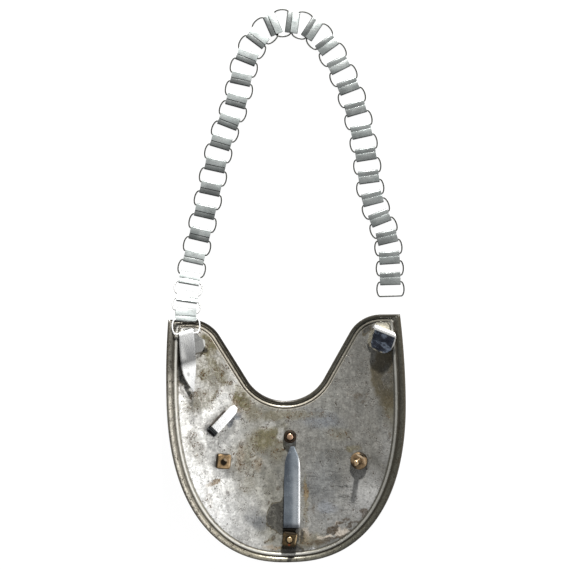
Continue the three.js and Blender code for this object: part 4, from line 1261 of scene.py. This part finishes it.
plateSteel = makePlateSteel()
hookSteel = makeSteel("hookSteel", dressHook, (1, 1, 1), (0.86, 0.87, 0.89), 0.26, 1.3, 0.15)
clipSteel = makeSteel("clipSteel", dressClip, (0.97, 0.97, 0.97), (0.9, 0.9, 0.91), 0.25, 2.3, 0.1, 0.1)
catchSteel = makeSteel("catchSteel", dressCatch, (0.05, 0.058, 0.08), (0.014, 0.015, 0.02), 0.24, 0.4, 0.3)
tongueSteel = makeSteel("tongueSteel", dressTongue, (0.34, 0.385, 0.43), (0.2, 0.23, 0.265), 0.26, 0.0, 0.35)
linkSteel = makeSteel("linkSteel", dressLink, (1, 1, 1), (0.8, 0.84, 0.84), 0.34, 0.2, 0.5, 0.3, 0.6)
wireSteel = makeSteel(
    "wireSteel", dressWire, (0.05, 0.052, 0.046), (0.03, 0.032, 0.03), 0.45, 0.0, 0.1, 0.1, 0.3,
)
wireSteel.node_tree.nodes["Principled BSDF"].inputs["Specular IOR Level"].default_value = 0.2
# near-black for painted shade in gaps, bores and along nut edges
shadeBlack = (0.02, 0.014, 0.008)
nutTones = {  # bright and grimy colour, roughness, spots as in the plate's stains and shade with a colour each: black spots are painted shade, pale ones painted highlights
    "top": ((0.05, 0.032, 0.02), (0.014, 0.01, 0.007), 0.4, []),
    "left": ((0.33, 0.225, 0.12), (0.2, 0.135, 0.07), 0.36, [
        (-0.2, -0.3, 2.5, 2.3, 0, 0.25, 1.0, shadeBlack), (0.9, 1.5, 1.5, 0.8, -35, 0.5, 0.8, (0.6, 0.47, 0.33)),
        (-5.4, 0, 1.0, 6, 0, 0.4, 0.95, shadeBlack), (0.5, 5.3, 2.6, 0.8, 0, 0.4, 0.95, shadeBlack),
        (0, -5.4, 5, 0.6, 0, 0.5, 0.7, shadeBlack), (4.4, 0, 0.7, 4, 0, 0.5, 0.5, (0.7, 0.52, 0.34)),
    ]),
    "right": ((0.36, 0.25, 0.145), (0.2, 0.13, 0.07), 0.34, [
        (-4.4, -3.8, 3.4, 1.8, -42, 0.5, 0.85, shadeBlack),
        (1.4, 3.6, 3.0, 0.7, -28, 0.4, 0.7, (0.75, 0.62, 0.45)),
        (3.4, 4.9, 3.2, 1.3, -38, 0.25, 1.0, shadeBlack), (4.6, 0.4, 0.8, 2.6, 10, 0.5, 0.6, (0.66, 0.5, 0.33)),
    ]),
    "bottom": ((0.12, 0.082, 0.04), (0.035, 0.025, 0.012), 0.42, [
        (0, 4.9, 6, 1.1, 0, 0.35, 1.0, shadeBlack), (-0.4, 0, 2.8, 3.1, 0, 0.25, 0.9, shadeBlack),
        (0.2, -3.9, 0.9, 0.9, 0, 0.4, 0.9, (0.22, 0.06, 0.025)),
        (4.8, 1.5, 0.5, 3.4, -6, 0.5, 0.7, (0.55, 0.42, 0.25)),
    ]),
}
# screws, the same way; the left screw's end is painted near-black as shade deep in its nut, and the right
# post's end has painted shade on its left
screwTones = {
    "top": ((0.55, 0.36, 0.25), (0.36, 0.23, 0.15), 0.3, []),
    "left": ((0.05, 0.032, 0.018), (0.02, 0.014, 0.008), 0.5, []),
    "right": ((0.60, 0.44, 0.27), (0.36, 0.25, 0.14), 0.3, [
        (-1.4, -0.3, 0.7, 1.5, 0, 0.4, 0.8, (0.1, 0.05, 0.02)),
    ]),
    "bottom": ((0.62, 0.46, 0.26), (0.34, 0.24, 0.13), 0.3, []),
}
print("stage: the finishes are made")

makePlate()
print("stage: the plate is made")
nutSlots = {"top": "dark_steel", "left": "brass", "right": "brass", "bottom": "dark_brass"}
for name, slotName in nutSlots.items():
    makeScrew(name, "brass")
    makeNut(name, slotName)
makeFolded("chainHook", hook, hookSteel, "fitting_steel")
makeFolded("chainCatch", catchHook, catchSteel, "dark_steel")
makeFolded("sideClip", clip, clipSteel, "fitting_steel")
makeTongue()
print("stage: the fittings are made")
makeChain()
print("stage: the chain is made")


# Stage: camera straight above, white floor, soft lights

view = {"x": -1.05, "y": 0.12, "height": 700.0, "angle": 33.97 * degree, "turn": -1.4 * degree}
floorSettings = {"size": 6.0, "drop": 0.05, "colour": (0.05, 0.05, 0.05), "glow": 0.97}
lights = {  # place in metres, size, power in watts, colour
    "key": {"place": (0.13, 1.28, 0.6), "size": (0.09, 0.09), "power": 75.0, "colour": (1.0, 0.99, 0.97)},
    "bright": {"place": (1.2, -0.4, 1.0), "size": (1.8, 1.0), "power": 9.5, "colour": (1.0, 0.99, 0.97)},
}
worldTone = {"colour": (0.97, 0.985, 1.0, 1), "strength": 0.32}


def makeCamera():
    data = bpy.data.cameras.new("photoView")
    camera = linkObject("photoView", data)
    camera.location = Vector((view["x"], view["y"], view["height"])) * toMetres
    camera.rotation_euler = (0, 0, view["turn"])
    data.angle = view["angle"]
    data.clip_start = 0.01
    bpy.context.scene.camera = camera


def makeFloor():
    bm = bmesh.new()
    bmesh.ops.create_grid(bm, x_segments=1, y_segments=1, size=floorSettings["size"] / 2)
    bmesh.ops.translate(bm, vec=(0, 0, -floorSettings["drop"] * toMetres), verts=bm.verts)
    mesh = meshFrom(bm, "floor")
    material, shader = newMaterial("floorPaper", floorSettings["colour"], 0.9, 0.0)
    shader.inputs["Emission Color"].default_value = (1, 1, 1, 1)
    shader.inputs["Emission Strength"].default_value = floorSettings["glow"]
    mesh.materials.append(material)
    floor = linkObject("floor", mesh)


def makeLight(name, settings):
    data = bpy.data.lights.new(name, "AREA")
    data.shape = "RECTANGLE"
    data.size, data.size_y = settings["size"]
    data.energy = settings["power"]
    data.color = settings["colour"]
    light = linkObject(name, data)
    light.location = settings["place"]
    light.rotation_euler = (-Vector(settings["place"])).to_track_quat("-Z", "Y").to_euler()


makeCamera()
makeFloor()
for name, settings in lights.items():
    makeLight(name, settings)
world = bpy.data.worlds.new("studio")
world.use_nodes = True
background = world.node_tree.nodes["Background"]
background.inputs["Color"].default_value = worldTone["colour"]
background.inputs["Strength"].default_value = worldTone["strength"]
bpy.context.scene.world = world
bpy.context.scene.view_settings.view_transform = "Standard"
print("stage: camera, floor and lights are set")
